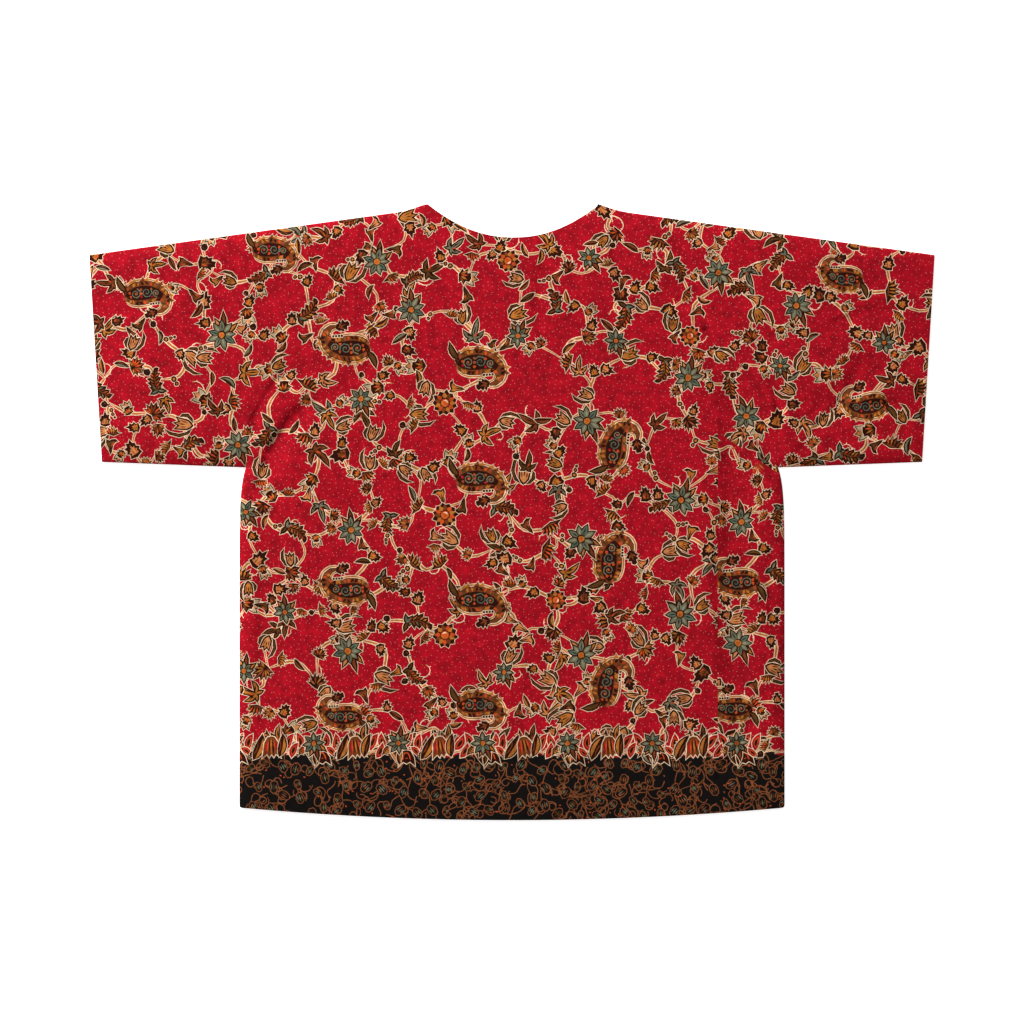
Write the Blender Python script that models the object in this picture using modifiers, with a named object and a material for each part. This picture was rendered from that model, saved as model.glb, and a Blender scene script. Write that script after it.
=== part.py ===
"""Batik crop shirt, laid flat on its front with its back up.

Metres, +Z up. X runs along the sleeves, Y from the hem to the neck. The shirt rests on z = 0 and the
middle of its bounding box is at x = 0, y = 0. Each cut piece is one wall of cloth: the back, the front,
and two sleeves that are tubes folded at the shoulder line. The back lies on the front, and folds run
down from the underarms.
"""

import math

import bmesh
import bpy

MM = 0.001

# Cloth
WALL = 1.2 * MM
EDGE_ROUNDING = 0.3 * MM
EDGE_ANGLE = math.radians(60.0)
SEAM_GAP = 0.3 * MM
LAYER_STEP = WALL + SEAM_GAP
TOP_FACE_Z = LAYER_STEP + WALL
FOLDED_EDGE_RADIUS = 0.5 * TOP_FACE_Z

# Body outline, as laid flat
BODY_HALF = 272.5 * MM
UNDERARM_HALF = 266.0 * MM
UNDERARM_Y = 44.5 * MM
UNDERARM_EASE = 18.0 * MM
HEM_Y = -308.0 * MM
HEM_RISE = 12.5 * MM

# Shoulder line, from the cuff up to the neck point
CUFF_TOP_X = 422.5 * MM
CUFF_TOP_Y = 257.0 * MM
SHOULDER_SLOPE = 0.1386
NECK_RISE = 4.4 * MM
NECK_RISE_FROM = 115.0 * MM
NECK_RISE_POWER = 1.5

# Neck, which lies a little to the right of the middle
NECK_X = 1.5 * MM
NECK_HALF = 86.0 * MM
NECK_POINT_Y = 308.0 * MM
BACK_NECK_DEPTH = 33.5 * MM
BACK_NECK_POWER = 2.1
FRONT_NECK_DEPTH = 150.0 * MM

# Sleeves
CUFF_BOTTOM_X = 410.0 * MM
CUFF_BOTTOM_Y = 50.0 * MM
ARMHOLE_TOP_X = 256.0 * MM
ARMHOLE_TOP_Y = 280.0 * MM

# How far the top layer stands off the layer under it
LOFT = 3.3 * MM
LOFT_REACH = 22.0 * MM
OPEN_EDGE_SHARE = 0.25
OPEN_EDGE_REACH = 30.0 * MM

# Folds in the top layer. A row is a place on the fold, in mm: x, y, depth and half width there.
# A depth below zero is a ridge.
FOLDS = {
    "left_underarm": (
        (-260, 8, 1.4, 9),
        (-248, 40, 2.8, 9),
        (-236, 70, 3.2, 9),
        (-217, 95, 2.8, 11),
        (-190, 112, 1.5, 13),
        (-148, 120, 0.2, 15),
    ),
    "left_underarm_ridge": (
        (-236, 18, -0.2, 12),
        (-216, 56, -0.8, 14),
        (-188, 84, -0.6, 16),
        (-150, 94, -0.1, 16),
    ),
    "left_side": (
        (-256, -10, 0.9, 10),
        (-250, -80, 1.5, 11),
        (-254, -140, 1.1, 12),
        (-258, -210, 0.3, 13),
    ),
    "right_underarm": (
        (264, 40, 2.2, 8),
        (254, 62, 3.0, 9),
        (234, 94, 2.4, 12),
        (212, 130, 2.2, 13),
        (188, 166, 1.7, 14),
        (160, 190, 1.2, 15),
        (122, 222, 0.2, 17),
    ),
    "right_underarm_ridge": (
        (206, 110, -0.3, 13),
        (182, 142, -0.8, 15),
        (152, 172, -0.6, 16),
        (118, 198, -0.1, 18),
    ),
    "right_side": (
        (224, 106, 0.8, 12),
        (221, 50, 2.0, 13),
        (222, -40, 2.2, 14),
        (226, -130, 1.7, 14),
        (231, -240, 0.5, 16),
    ),
    "right_side_ridge": (
        (193, 70, -0.3, 14),
        (190, -20, -0.7, 16),
        (196, -120, -0.4, 16),
    ),
    "left_neck": (
        (-88, 286, 0.4, 9),
        (-76, 254, 0.9, 11),
        (-58, 204, 0.7, 13),
        (-44, 160, 0.1, 15),
    ),
    "middle": (
        (2, -90, 0.1, 15),
        (14, -136, 0.8, 16),
        (44, -180, 0.9, 17),
        (62, -236, 0.1, 18),
    ),
    "lower_left": (
        (-176, -140, 0.1, 16),
        (-136, -190, 0.8, 16),
        (-78, -222, 0.6, 17),
        (-30, -236, 0.1, 18),
    ),
    "left_sleeve": (
        (-398, 132, 0.1, 15),
        (-345, 112, 0.8, 15),
        (-286, 98, 0.5, 14),
    ),
    "right_sleeve": (
        (282, 84, 0.8, 11),
        (318, 112, 1.2, 14),
        (356, 148, 0.9, 17),
        (398, 180, 0.2, 18),
    ),
    "right_sleeve_low": (
        (286, 62, 0.7, 8),
        (330, 74, 0.9, 11),
        (386, 78, 0.1, 14),
    ),
}
FOLD_LINE_STEPS = 4

# Mesh steps
BACK_COLUMNS_BESIDE_NECK = 14
BACK_COLUMNS_AT_NECK = 12
BACK_CROWDING = 0.5
BACK_ROWS_BELOW_UNDERARM = 20
BACK_ROWS_ABOVE_UNDERARM = 14
FRONT_COLUMNS_BESIDE_NECK = 7
FRONT_COLUMNS_AT_NECK = 14
FRONT_CROWDING = 0.9
FRONT_ROWS_BELOW_UNDERARM = 6
FRONT_ROWS_ABOVE_UNDERARM = 6
SLEEVE_SECTIONS = 11
SLEEVE_STEPS_ACROSS = 13
FOLDED_EDGE_STEPS = 4
SETTLING_STEPS = 6
TINY = 0.001 * MM

# Dyes of the print, at a distance
CRIMSON = (0.42, 0.012, 0.03, 1.0)
CRIMSON_SHADE = (0.34, 0.010, 0.026, 1.0)
CRIMSON_LIGHT = (0.48, 0.016, 0.04, 1.0)
CLOTH_ROUGHNESS = 0.85

PART_NAME = "batik_crop_shirt"


def mix(a, b, share):
    return a + (b - a) * share


def half_width(y):
    """Half the body's width at a height on the side seam."""
    return BODY_HALF - (BODY_HALF - UNDERARM_HALF) * math.exp(-(UNDERARM_Y - y) / UNDERARM_EASE)


def armhole_x(y):
    """The armhole seam's distance from the middle."""
    share = (y - UNDERARM_Y) / (ARMHOLE_TOP_Y - UNDERARM_Y)
    return mix(UNDERARM_HALF, ARMHOLE_TOP_X, share)


def hem_y(x):
    return HEM_Y + HEM_RISE * (x / BODY_HALF) ** 2


def shoulder_y(x):
    near_neck = max(0.0, (NECK_RISE_FROM - abs(x)) / (NECK_RISE_FROM - NECK_HALF))
    rise = NECK_RISE * min(near_neck, 1.0) ** NECK_RISE_POWER
    return CUFF_TOP_Y + SHOULDER_SLOPE * (CUFF_TOP_X - abs(x)) + rise


def back_neck_y(x):
    share = min(abs(x - NECK_X) / NECK_HALF, 1.0)
    return NECK_POINT_Y - BACK_NECK_DEPTH * (1.0 - share**BACK_NECK_POWER)


def front_neck_y(x):
    share = min(abs(x - NECK_X) / NECK_HALF, 1.0)
    return NECK_POINT_Y - FRONT_NECK_DEPTH * math.sqrt(1.0 - share**2)


def underarm_y(x):
    """The sleeve's lower edge, from the underarm to the cuff."""
    share = (abs(x) - UNDERARM_HALF) / (CUFF_BOTTOM_X - UNDERARM_HALF)
    return mix(UNDERARM_Y, CUFF_BOTTOM_Y, share)


def cuff_x(y):
    share = (y - CUFF_BOTTOM_Y) / (CUFF_TOP_Y - CUFF_BOTTOM_Y)
    return mix(CUFF_BOTTOM_X, CUFF_TOP_X, share)


def body_top(x, neck_y):
    """The body's upper edge: the shoulder seam, and the neck between the neck points."""
    return neck_y(x) if abs(x - NECK_X) < NECK_HALF + TINY else shoulder_y(x)


def eased(distance, reach):
    return 1.0 - math.exp(-max(distance, 0.0) / reach)


def seam_distance(x, y):
    """How far a place is from the nearest closed edge: shoulder, side seam or underarm seam."""
    to_shoulder = shoulder_y(x) - y
    beyond_side = max(0.0, half_width(min(y, UNDERARM_Y)) - abs(x))
    above_underarm = max(0.0, y - underarm_y(max(abs(x), UNDERARM_HALF)))
    return min(to_shoulder, math.hypot(beyond_side, above_underarm))


def open_distance(x, y):
    """How far a place is from the nearest open edge: hem, cuff or neck."""
    to_hem = y - hem_y(x) if abs(x) < BODY_HALF else CUFF_TOP_X
    to_cuff = cuff_x(y) - abs(x) if y > 0.0 else CUFF_TOP_X
    beyond_neck = abs(x - NECK_X) - NECK_HALF
    to_neck = back_neck_y(x) - y if beyond_neck < 0.0 else math.hypot(beyond_neck, NECK_POINT_Y - y)
    return min(to_hem, to_cuff, to_neck)


def smooth_line(rows):
    """A fold's rows in metres, with more of them on a smooth curve through the ones given."""
    ends = [rows[0], *rows, rows[-1]]
    line = []
    for a, b, c, d in zip(ends, ends[1:], ends[2:], ends[3:]):
        for i in range(FOLD_LINE_STEPS):
            t = i / FOLD_LINE_STEPS
            weights = (
                0.5 * (-t + 2.0 * t**2 - t**3),
                0.5 * (2.0 - 5.0 * t**2 + 3.0 * t**3),
                0.5 * (t + 4.0 * t**2 - 3.0 * t**3),
                0.5 * (-(t**2) + t**3),
            )
            line.append([MM * sum(w * row[k] for w, row in zip(weights, (a, b, c, d))) for k in range(4)])
    line.append([MM * value for value in rows[-1]])
    return line


FOLD_LINES = [smooth_line(rows) for rows in FOLDS.values()]


def fold_depth(x, y, line):
    """Depth of one fold at a place, from the nearest point of its line."""
    nearest = math.inf
    depth = 0.0
    for start, end in zip(line, line[1:]):
        along_x, along_y = end[0] - start[0], end[1] - start[1]
        share = ((x - start[0]) * along_x + (y - start[1]) * along_y) / (along_x**2 + along_y**2)
        share = min(max(share, 0.0), 1.0)
        away = math.hypot(x - start[0] - share * along_x, y - start[1] - share * along_y)
        if away < nearest:
            nearest = away
            half = mix(start[3], end[3], share)
            depth = mix(start[2], end[2], share) * math.exp(-((away / half) ** 2))
    return depth


def loft(x, y):
    """How far the top layer stands above its lowest place, which is just clear of the layer below."""
    open_share = OPEN_EDGE_SHARE + (1.0 - OPEN_EDGE_SHARE) * eased(open_distance(x, y), OPEN_EDGE_REACH)
    height = LOFT * eased(seam_distance(x, y), LOFT_REACH) * open_share
    folds = sum(fold_depth(x, y, line) for line in FOLD_LINES)
    return max(height - folds * min(height / LOFT, 1.0), 0.0)


def cloth_material(name, colour):
    material = bpy.data.materials.new(name)
    material.use_nodes = True
    shader = material.node_tree.nodes["Principled BSDF"]
    shader.inputs["Base Color"].default_value = colour
    shader.inputs["Roughness"].default_value = CLOTH_ROUGHNESS
    shader.inputs["Metallic"].default_value = 0.0
    material.diffuse_color = colour
    return material


def add_piece(name, bm, material, collection):
    """Gives an outer face its wall, towards the inside, and puts the piece in the shirt."""
    mesh = bpy.data.meshes.new(name)
    bm.to_mesh(mesh)
    bm.free()
    mesh.shade_smooth()
    mesh.materials.append(material)
    piece = bpy.data.objects.new(name, mesh)
    collection.objects.link(piece)
    wall = piece.modifiers.new("Wall", "SOLIDIFY")
    wall.thickness = WALL
    wall.offset = -1.0
    wall.use_rim = True
    wall.use_quality_normals = True
    rounding = piece.modifiers.new("Rounding", "BEVEL")
    rounding.width = EDGE_ROUNDING
    rounding.segments = 1
    rounding.limit_method = "ANGLE"
    rounding.angle_limit = EDGE_ANGLE


def column_places(beside, at_neck, crowding):
    """X of a body panel's columns at its widest. Crowding draws those at the neck to the neck points."""
    neck_left = NECK_X - NECK_HALF
    neck_right = NECK_X + NECK_HALF
    places = [mix(-BODY_HALF, neck_left, i / beside) for i in range(beside)]
    for i in range(at_neck):
        even = 2.0 * i / at_neck - 1.0
        crowded = -math.cos(math.pi * i / at_neck)
        places.append(NECK_X + NECK_HALF * mix(even, crowded, crowding))
    places += [mix(neck_right, BODY_HALF, i / beside) for i in range(beside + 1)]
    return places


def body_place(column, row, rows_below, rows_above, neck_y):
    """Where a column and a row meet. Rows run from the hem to the underarm, and from there to the top."""
    outer = max(abs(column) - NECK_HALF, 0.0) / (BODY_HALF - NECK_HALF)
    x = column
    for _ in range(SETTLING_STEPS):
        if row < rows_below:
            y = mix(hem_y(x), UNDERARM_Y, row / rows_below)
            edge = half_width(y)
        else:
            y = mix(UNDERARM_Y, body_top(x, neck_y), (row - rows_below) / rows_above)
            edge = armhole_x(y) - 0.5 * SEAM_GAP
        x = column * mix(1.0, edge / BODY_HALF, outer)
    return x, y


def body_panel(name, columns, rows_below, rows_above, neck_y, height, material, collection):
    """A body panel from the hem to the shoulder seam, whose upper face stands at height(x, y)."""
    rows = rows_below + rows_above
    bm = bmesh.new()
    bmesh.ops.create_grid(bm, x_segments=len(columns) - 1, y_segments=rows, size=0.5)
    for vert in bm.verts:
        column = columns[round((vert.co.x + 0.5) * (len(columns) - 1))]
        row = round((vert.co.y + 0.5) * rows)
        x, y = body_place(column, row, rows_below, rows_above, neck_y)
        vert.co = (x, y, height(x, y))
    add_piece(name, bm, material, collection)


def sleeve_place(along, across):
    """A place on a sleeve's layers at +X: along from the armhole to the cuff, across from below to above."""
    y = mix(UNDERARM_Y, ARMHOLE_TOP_Y, across)
    for _ in range(SETTLING_STEPS):
        x = mix(armhole_x(y) + 0.5 * SEAM_GAP, cuff_x(y), along)
        y = mix(underarm_y(x) + FOLDED_EDGE_RADIUS, shoulder_y(x) - FOLDED_EDGE_RADIUS, across)
    return x, y


def folded_edge(x, y, way):
    """Points round a sleeve's folded edge beside (x, y), from its top down for way 1 and back up for -1."""
    points = []
    for i in range(1, FOLDED_EDGE_STEPS):
        turn = math.pi * i / FOLDED_EDGE_STEPS
        out = way * FOLDED_EDGE_RADIUS * math.sin(turn)
        points.append((x, y + out, FOLDED_EDGE_RADIUS * (1.0 + way * math.cos(turn))))
    return points


def sleeve_section(side, along):
    """A sleeve's outer face at one place along it: a flattened loop of points."""
    places = [sleeve_place(along, i / SLEEVE_STEPS_ACROSS) for i in range(SLEEVE_STEPS_ACROSS + 1)]
    places = [(side * x, y) for x, y in places]
    top = [(x, y, TOP_FACE_Z + loft(x, y)) for x, y in places]
    under = [(x, y, 0.0) for x, y in reversed(places)]
    return top + folded_edge(*places[-1], 1) + under + folded_edge(*places[0], -1)


def sleeve(name, side, material, collection):
    """A sleeve at -X for side -1 or at +X for side 1: a tube through its sections, open at both ends."""
    bm = bmesh.new()
    rings = []
    for i in range(SLEEVE_SECTIONS + 1):
        rings.append([bm.verts.new(point) for point in sleeve_section(side, i / SLEEVE_SECTIONS)])
    for ring, after in zip(rings, rings[1:]):
        for i in range(len(ring)):
            j = (i + 1) % len(ring)
            corners = (ring[i], after[i], after[j], ring[j])
            bm.faces.new(corners if side > 0 else corners[::-1])
    add_piece(name, bm, material, collection)


def build():
    for thing in list(bpy.data.objects):
        bpy.data.objects.remove(thing, do_unlink=True)
    collection = bpy.data.collections.new(PART_NAME)
    bpy.context.scene.collection.children.link(collection)

    body_panel(
        "back",
        column_places(BACK_COLUMNS_BESIDE_NECK, BACK_COLUMNS_AT_NECK, BACK_CROWDING),
        BACK_ROWS_BELOW_UNDERARM,
        BACK_ROWS_ABOVE_UNDERARM,
        back_neck_y,
        lambda x, y: TOP_FACE_Z + loft(x, y),
        cloth_material("batik_back", CRIMSON),
        collection,
    )
    body_panel(
        "front",
        column_places(FRONT_COLUMNS_BESIDE_NECK, FRONT_COLUMNS_AT_NECK, FRONT_CROWDING),
        FRONT_ROWS_BELOW_UNDERARM,
        FRONT_ROWS_ABOVE_UNDERARM,
        front_neck_y,
        lambda x, y: WALL,
        cloth_material("batik_front", CRIMSON_SHADE),
        collection,
    )
    sleeves = cloth_material("batik_sleeves", CRIMSON_LIGHT)
    sleeve("sleeve_left", -1, sleeves, collection)
    sleeve("sleeve_right", 1, sleeves, collection)


build()
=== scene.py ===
"""Looks of the batik crop shirt, laid flat on its front with its back up.

The cloth plane is in mm, with X to the right and Y from the hem to the neck, and meshes are in metres.
Each cut piece is a thin shell on the form of its solid. The print is drawn as flat outlines in the cloth
plane, and every piece is meshed along those outlines, so each dye is a material of its own.
"""

import math
import random

import bpy
import numpy as np
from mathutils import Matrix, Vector
from mathutils.geometry import delaunay_2d_cdt


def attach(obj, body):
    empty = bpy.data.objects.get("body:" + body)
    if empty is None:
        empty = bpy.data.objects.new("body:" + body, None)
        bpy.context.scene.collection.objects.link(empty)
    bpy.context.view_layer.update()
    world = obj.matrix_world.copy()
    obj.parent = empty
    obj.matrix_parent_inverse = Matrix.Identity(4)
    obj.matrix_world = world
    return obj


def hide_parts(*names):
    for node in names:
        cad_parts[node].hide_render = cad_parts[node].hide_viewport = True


MM = 0.001

# Cloth. The walls of the solids are thicker than the cloth that is drawn on them.
WALL = 1.2
SEAM_GAP = 0.3
TOP_FACE_Z = 2.0 * WALL + SEAM_GAP
FOLDED_EDGE_RADIUS = 0.5 * TOP_FACE_Z
CLOTH = 0.8
SEAM_EDGE_CLOTH = 0.12
SEAM_ROLL = 1.3
SEAM_CLEARANCE = 0.05
ARMHOLE_GAP = 0.06

# Body outline, as laid flat
BODY_HALF = 272.5
UNDERARM_HALF = 266.0
UNDERARM_Y = 44.5
UNDERARM_EASE = 18.0
HEM_Y = -308.0
HEM_RISE = 12.5

# Shoulder line, from the cuff up to the neck point
CUFF_TOP_X = 422.5
CUFF_TOP_Y = 257.0
SHOULDER_SLOPE = 0.1386
NECK_RISE = 4.4
NECK_RISE_FROM = 115.0
NECK_RISE_POWER = 1.5

# Neck
NECK_X = 1.5
NECK_HALF = 86.0
NECK_POINT_Y = 308.0
BACK_NECK_DEPTH = 33.5
BACK_NECK_POWER = 2.1
FRONT_NECK_DEPTH = 150.0

# Sleeves
CUFF_BOTTOM_X = 410.0
CUFF_BOTTOM_Y = 50.0
ARMHOLE_TOP_X = 256.0
ARMHOLE_TOP_Y = 280.0

# How far the top layer stands off the layer under it
LOFT = 3.3
LOFT_REACH = 8.0
OPEN_EDGE_SHARE = 0.25
OPEN_EDGE_REACH = 30.0

# Folds in the top layer, close to those of the solids. A row is a place on the fold: x, y, depth and
# half width there. A depth below zero is a ridge.
FOLDS = {
    "left_underarm": (
        (-260, 8, 1.4, 9), (-248, 40, 2.8, 9), (-236, 70, 3.2, 9), (-217, 95, 2.8, 11),
        (-190, 112, 1.5, 13), (-148, 120, 0.2, 15),
    ),
    "left_underarm_ridge": (
        (-236, 18, -0.1, 12), (-216, 56, -0.4, 14), (-188, 84, -0.3, 16), (-150, 94, -0.1, 16),
    ),
    "left_side": (
        (-254, -10, 0.9, 11), (-248, -80, 1.8, 12), (-250, -140, 1.6, 13), (-252, -210, 0.9, 14),
        (-256, -262, 0.3, 14),
    ),
    "right_underarm": (
        (264, 40, 2.2, 8), (254, 62, 3.0, 9), (234, 94, 2.4, 12), (212, 130, 2.2, 13), (188, 166, 1.7, 14),
        (160, 190, 1.2, 15), (122, 222, 0.2, 17),
    ),
    "right_underarm_ridge": (
        (206, 110, -0.3, 13), (182, 142, -0.8, 15), (152, 172, -0.6, 16), (118, 198, -0.1, 18),
    ),
    "right_side": (
        (216, 116, 0.6, 14), (218, 50, 2.0, 17), (220, -40, 2.4, 19), (222, -130, 2.1, 19),
        (226, -240, 1.0, 20),
    ),
    "right_side_ridge": (
        (193, 70, -0.3, 14), (190, -20, -0.7, 16), (196, -120, -0.4, 16),
    ),
    "left_neck": (
        (-88, 286, 0.4, 9), (-76, 254, 0.9, 11), (-58, 204, 0.7, 13), (-44, 160, 0.1, 15),
    ),
    "middle": (
        (2, -90, 0.1, 15), (14, -136, 0.8, 16), (44, -180, 0.9, 17), (62, -236, 0.1, 18),
    ),
    "lower_left": (
        (-176, -140, 0.1, 16), (-136, -190, 0.8, 16), (-78, -222, 0.6, 17), (-30, -236, 0.1, 18),
    ),
    "left_sleeve": (
        (-398, 132, 0.1, 15), (-345, 112, 0.8, 15), (-286, 98, 0.5, 14),
    ),
    "right_sleeve": (
        (282, 84, 0.8, 11), (318, 112, 1.2, 14), (356, 148, 0.9, 17), (398, 180, 0.2, 18),
    ),
    "right_sleeve_low": (
        (286, 62, 0.7, 8), (330, 74, 0.9, 11), (386, 78, 0.1, 14),
    ),
}
FOLD_LINE_STEPS = 4
FOLD_REACH = 2.6
CREASE_LINE_STEPS = 3
CREASE_DEPTH = 1.8

# Cloth leans over a fold: its wall on this side is steeper than the other, by these shares of the width.
LEAN_X = -0.7
LEAN_Y = 0.7
STEEP_SHARE = 0.58
GENTLE_SHARE = 1.35
LEAN_EASE = 1.5
SOFT_LANDING = 0.25

# Fine creases, only in the cloth that is drawn. The third number is a share of the depth above.
CREASES = (
    ((-270, 34, 0.1, 5), (-252, 22, 0.8, 5), (-226, 18, 0.6, 6), (-204, 24, 0.1, 7)),
    ((-262, 62, 0.2, 4), (-256, 96, 0.9, 5), (-238, 128, 0.7, 6), (-214, 148, 0.1, 7)),
    ((-284, 60, 0.2, 5), (-296, 84, 0.8, 6), (-318, 100, 0.5, 7), (-350, 104, 0.1, 8)),
    ((-330, 62, 0.1, 5), (-338, 92, 0.5, 6), (-352, 128, 0.5, 7), (-356, 164, 0.1, 8)),
    ((-404, 170, 0.2, 6), (-376, 182, 0.6, 7), (-340, 176, 0.5, 8), (-306, 182, 0.1, 8)),
    ((-210, 258, 0.1, 7), (-196, 226, 0.5, 7), (-186, 190, 0.5, 8), (-190, 160, 0.1, 8)),
    ((-120, 262, 0.2, 6), (-108, 230, 0.6, 7), (-98, 200, 0.1, 8)),
    ((-40, 266, 0.4, 6), (-34, 240, 0.5, 7), (-26, 214, 0.1, 8)),
    ((40, 268, 0.3, 6), (30, 238, 0.6, 7), (26, 200, 0.5, 8), (32, 168, 0.1, 9)),
    ((98, 276, 0.3, 6), (106, 240, 0.6, 7), (122, 206, 0.1, 8)),
    ((258, 20, 0.1, 5), (246, 34, 0.9, 5), (232, 52, 0.6, 6), (214, 60, 0.1, 7)),
    ((268, 74, 0.2, 4), (266, 108, 0.9, 5), (254, 144, 0.7, 6), (232, 172, 0.1, 8)),
    ((204, 150, 0.1, 6), (196, 180, 0.7, 6), (180, 206, 0.6, 7), (156, 226, 0.1, 9)),
    ((150, 126, 0.1, 8), (134, 150, 0.6, 8), (112, 168, 0.5, 9), (84, 176, 0.1, 9)),
    ((262, -20, 0.3, 5), (258, -66, 0.8, 6), (262, -118, 0.6, 6), (266, -160, 0.1, 7)),
    ((206, -20, 0.1, 6), (204, -70, 0.5, 7), (210, -130, 0.6, 7), (214, -180, 0.1, 8)),
    ((246, -180, 0.1, 7), (238, -210, 0.7, 7), (224, -240, 0.6, 8), (200, -262, 0.1, 9)),
    ((150, -226, 0.1, 8), (120, -240, 0.6, 8), (86, -244, 0.5, 9), (50, -262, 0.1, 9)),
    ((-262, -176, 0.3, 6), (-248, -200, 0.9, 7), (-226, -222, 0.7, 8), (-196, -236, 0.1, 9)),
    ((-266, -236, 0.4, 5), (-244, -252, 0.7, 6), (-214, -262, 0.1, 8)),
    ((-232, -60, 0.1, 7), (-222, -100, 0.6, 7), (-206, -136, 0.5, 8), (-182, -160, 0.1, 9)),
    ((-206, 40, 0.1, 8), (-176, 14, 0.5, 8), (-140, 0, 0.5, 9), (-104, -6, 0.1, 9)),
    ((-60, 70, 0.1, 9), (-30, 40, 0.5, 9), (10, 22, 0.5, 9), (50, 14, 0.1, 9)),
    ((-120, -60, 0.1, 8), (-90, -92, 0.5, 9), (-50, -114, 0.5, 9), (-10, -122, 0.1, 9)),
    ((60, -40, 0.1, 9), (92, -66, 0.6, 9), (120, -100, 0.5, 9), (136, -140, 0.1, 9)),
    ((292, 70, 0.3, 5), (312, 92, 0.9, 6), (336, 122, 0.7, 7), (352, 160, 0.1, 8)),
    ((300, 172, 0.1, 7), (326, 190, 0.6, 7), (360, 200, 0.5, 8), (396, 202, 0.1, 8)),
    ((410, 96, 0.4, 5), (384, 108, 0.8, 6), (352, 104, 0.5, 7), (326, 98, 0.1, 7)),
    ((414, 214, 0.3, 5), (392, 228, 0.7, 6), (362, 236, 0.1, 8)),
)

# Creases of the layer underneath, which stand up. The third number is their height in mm.
UNDER_CREASES = (
    ((-262, 50, 0.3, 5), (-244, 84, 0.45, 7), (-212, 112, 0.4, 8), (-170, 126, 0.1, 9)),
    ((-250, -20, 0.1, 6), (-244, -80, 0.4, 8), (-248, -140, 0.4, 8), (-254, -200, 0.1, 9)),
    ((262, 48, 0.3, 5), (246, 80, 0.45, 7), (214, 118, 0.4, 8), (180, 150, 0.1, 9)),
    ((236, 10, 0.1, 7), (232, -60, 0.4, 8), (238, -130, 0.4, 9), (240, -200, 0.1, 9)),
    ((-150, -150, 0.1, 8), (-110, -186, 0.35, 9), (-60, -206, 0.35, 9), (-10, -214, 0.1, 9)),
    ((60, 90, 0.1, 9), (90, 40, 0.35, 9), (100, -20, 0.35, 9), (92, -70, 0.1, 9)),
    ((-120, 110, 0.1, 9), (-90, 60, 0.35, 9), (-50, 30, 0.35, 9), (0, 20, 0.1, 9)),
    ((140, -170, 0.1, 9), (100, -200, 0.35, 9), (60, -240, 0.3, 9), (40, -280, 0.1, 9)),
    ((-190, 230, 0.1, 7), (-170, 190, 0.4, 8), (-160, 150, 0.1, 9)),
    ((170, 240, 0.1, 7), (156, 200, 0.4, 8), (150, 160, 0.1, 9)),
)

# Dyes, as they look: red, green and blue from 0 to 255
DYES = {
    "crimson": (176, 8, 29), "cream": (255, 220, 182), "tan": (210, 132, 76), "ochre": (190, 114, 44),
    "brown": (124, 60, 24), "olive": (92, 58, 20), "dark": (50, 12, 1), "teal": (92, 108, 90),
    "grey_teal": (118, 114, 88), "deep_teal": (44, 48, 34), "mist": (146, 146, 118),
    "orange": (208, 78, 30), "black": (16, 12, 10), "rust": (158, 78, 44), "moss": (112, 112, 88),
    "pale": (190, 164, 128), "bark": (138, 78, 44),
}
INKS = list(DYES)
CLOTH_ROUGHNESS = 0.9
CLOTH_GLOSS = 0.08

# How the cloth is meshed: tolerances, steps along its outline, lines inside its edge and where a sleeve
# bends, and the pitch of its points. A fine grid is a pitch and the least bend over one step that it is for.
TINY = 1e-6
NO_AREA = 1e-15
MERGE = 1e-3
NORMAL_STEP = 0.3
OUTLINE_STEP = 6.0
NECK_STEP = 0.05
CUFF_STEP = 1.0 / 72
HEM_CORNER = 3.0
NECK_CORNER = 1.5
EDGE_LINES = (0.35, 1.3)
FOLD_TURNS = 6
BEND_LINE_POINTS = 30
BEND_LINE_REACH = 6.0
SOLVE_ROUNDS = 6
GRID = 9.0
INNER_GRID = 18.0
FINE_GRID = (4.4, 0.09)
INNER_FINE_GRID = (5.5, 0.14)
ROW_PITCH = 0.866
GRID_MARGIN = 0.3

# An edge between two dyes is thinned where it is this straight, in so many rounds. Points drop out in a
# mixed order, that of their numbers times a prime.
STRAIGHT = 0.15
STRAIGHTENINGS = 6
MIXING_PRIME = 7919

# The print: seeds, cream edge of a motif, vines, patches of bare ground and the leaves round them
TOP_SEED = 11
UNDER_SEED = 23
EDGE = 0.55
DARK_LINE = 1.7
PETAL_LINE = 1.25
FAN_SPREAD = 100.0
SPIKE_LIMIT = 1.7
TOOTH_LEAN = 0.07
SMALL_FLOWER = 26.0
FLOWER_SHARE = 0.9
VINE_LINES = (("cream", 3.2), ("ochre", 1.7))
VINE_SWELL = 0.28
VINE_SWING = 0.36
VINE_STEPS = 4
TENDRIL_STEP = 3.6
TENDRIL_SHARE = 0.8
PRINT_MARGIN = 22.0
PRINT_HALF = 290.0
FIELD_BOTTOM = -262.0
SLEEVE_PRINT = (30.0, 500.0)
PATCH_FIELD = (460.0, -270.0, 520.0)
PATCH_GAP = 36.0
PATCH_CLEARANCE = 14.0
PATCH_TRIES = 9000
PLACE_MERGE = 1e-4
LEAST_TWICE_AREA = 1.0
SHORTEST_WALL = 3.0
LONGEST_WALL = 75.0
SWING_FROM = 12.0
VINE_PIECE = 6
JOINING_VINE = 28.0
LEAF_RADIUS = 0.42
CLUSTER_CLOSENESS = 0.84
LEAF_PITCH = 13.0
LEAF_CLOSENESS = 0.8
SIDE_LEAF_REACH = 12.0
SIDE_LEAF_CLOSENESS = 0.76
LEAF_SHARE = 0.87
SIDE_LEAF_SHARE = 0.6

# Main motifs this near to the middle come again on the sleeves' undersides, moved outward and up
UNDERSIDE_FROM = 130.0
UNDERSIDE_SHIFT = (340.0, 239.0)
UNDERSIDE_END = 450.0
UNDERSIDE_CLEARANCE = 15.0

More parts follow.
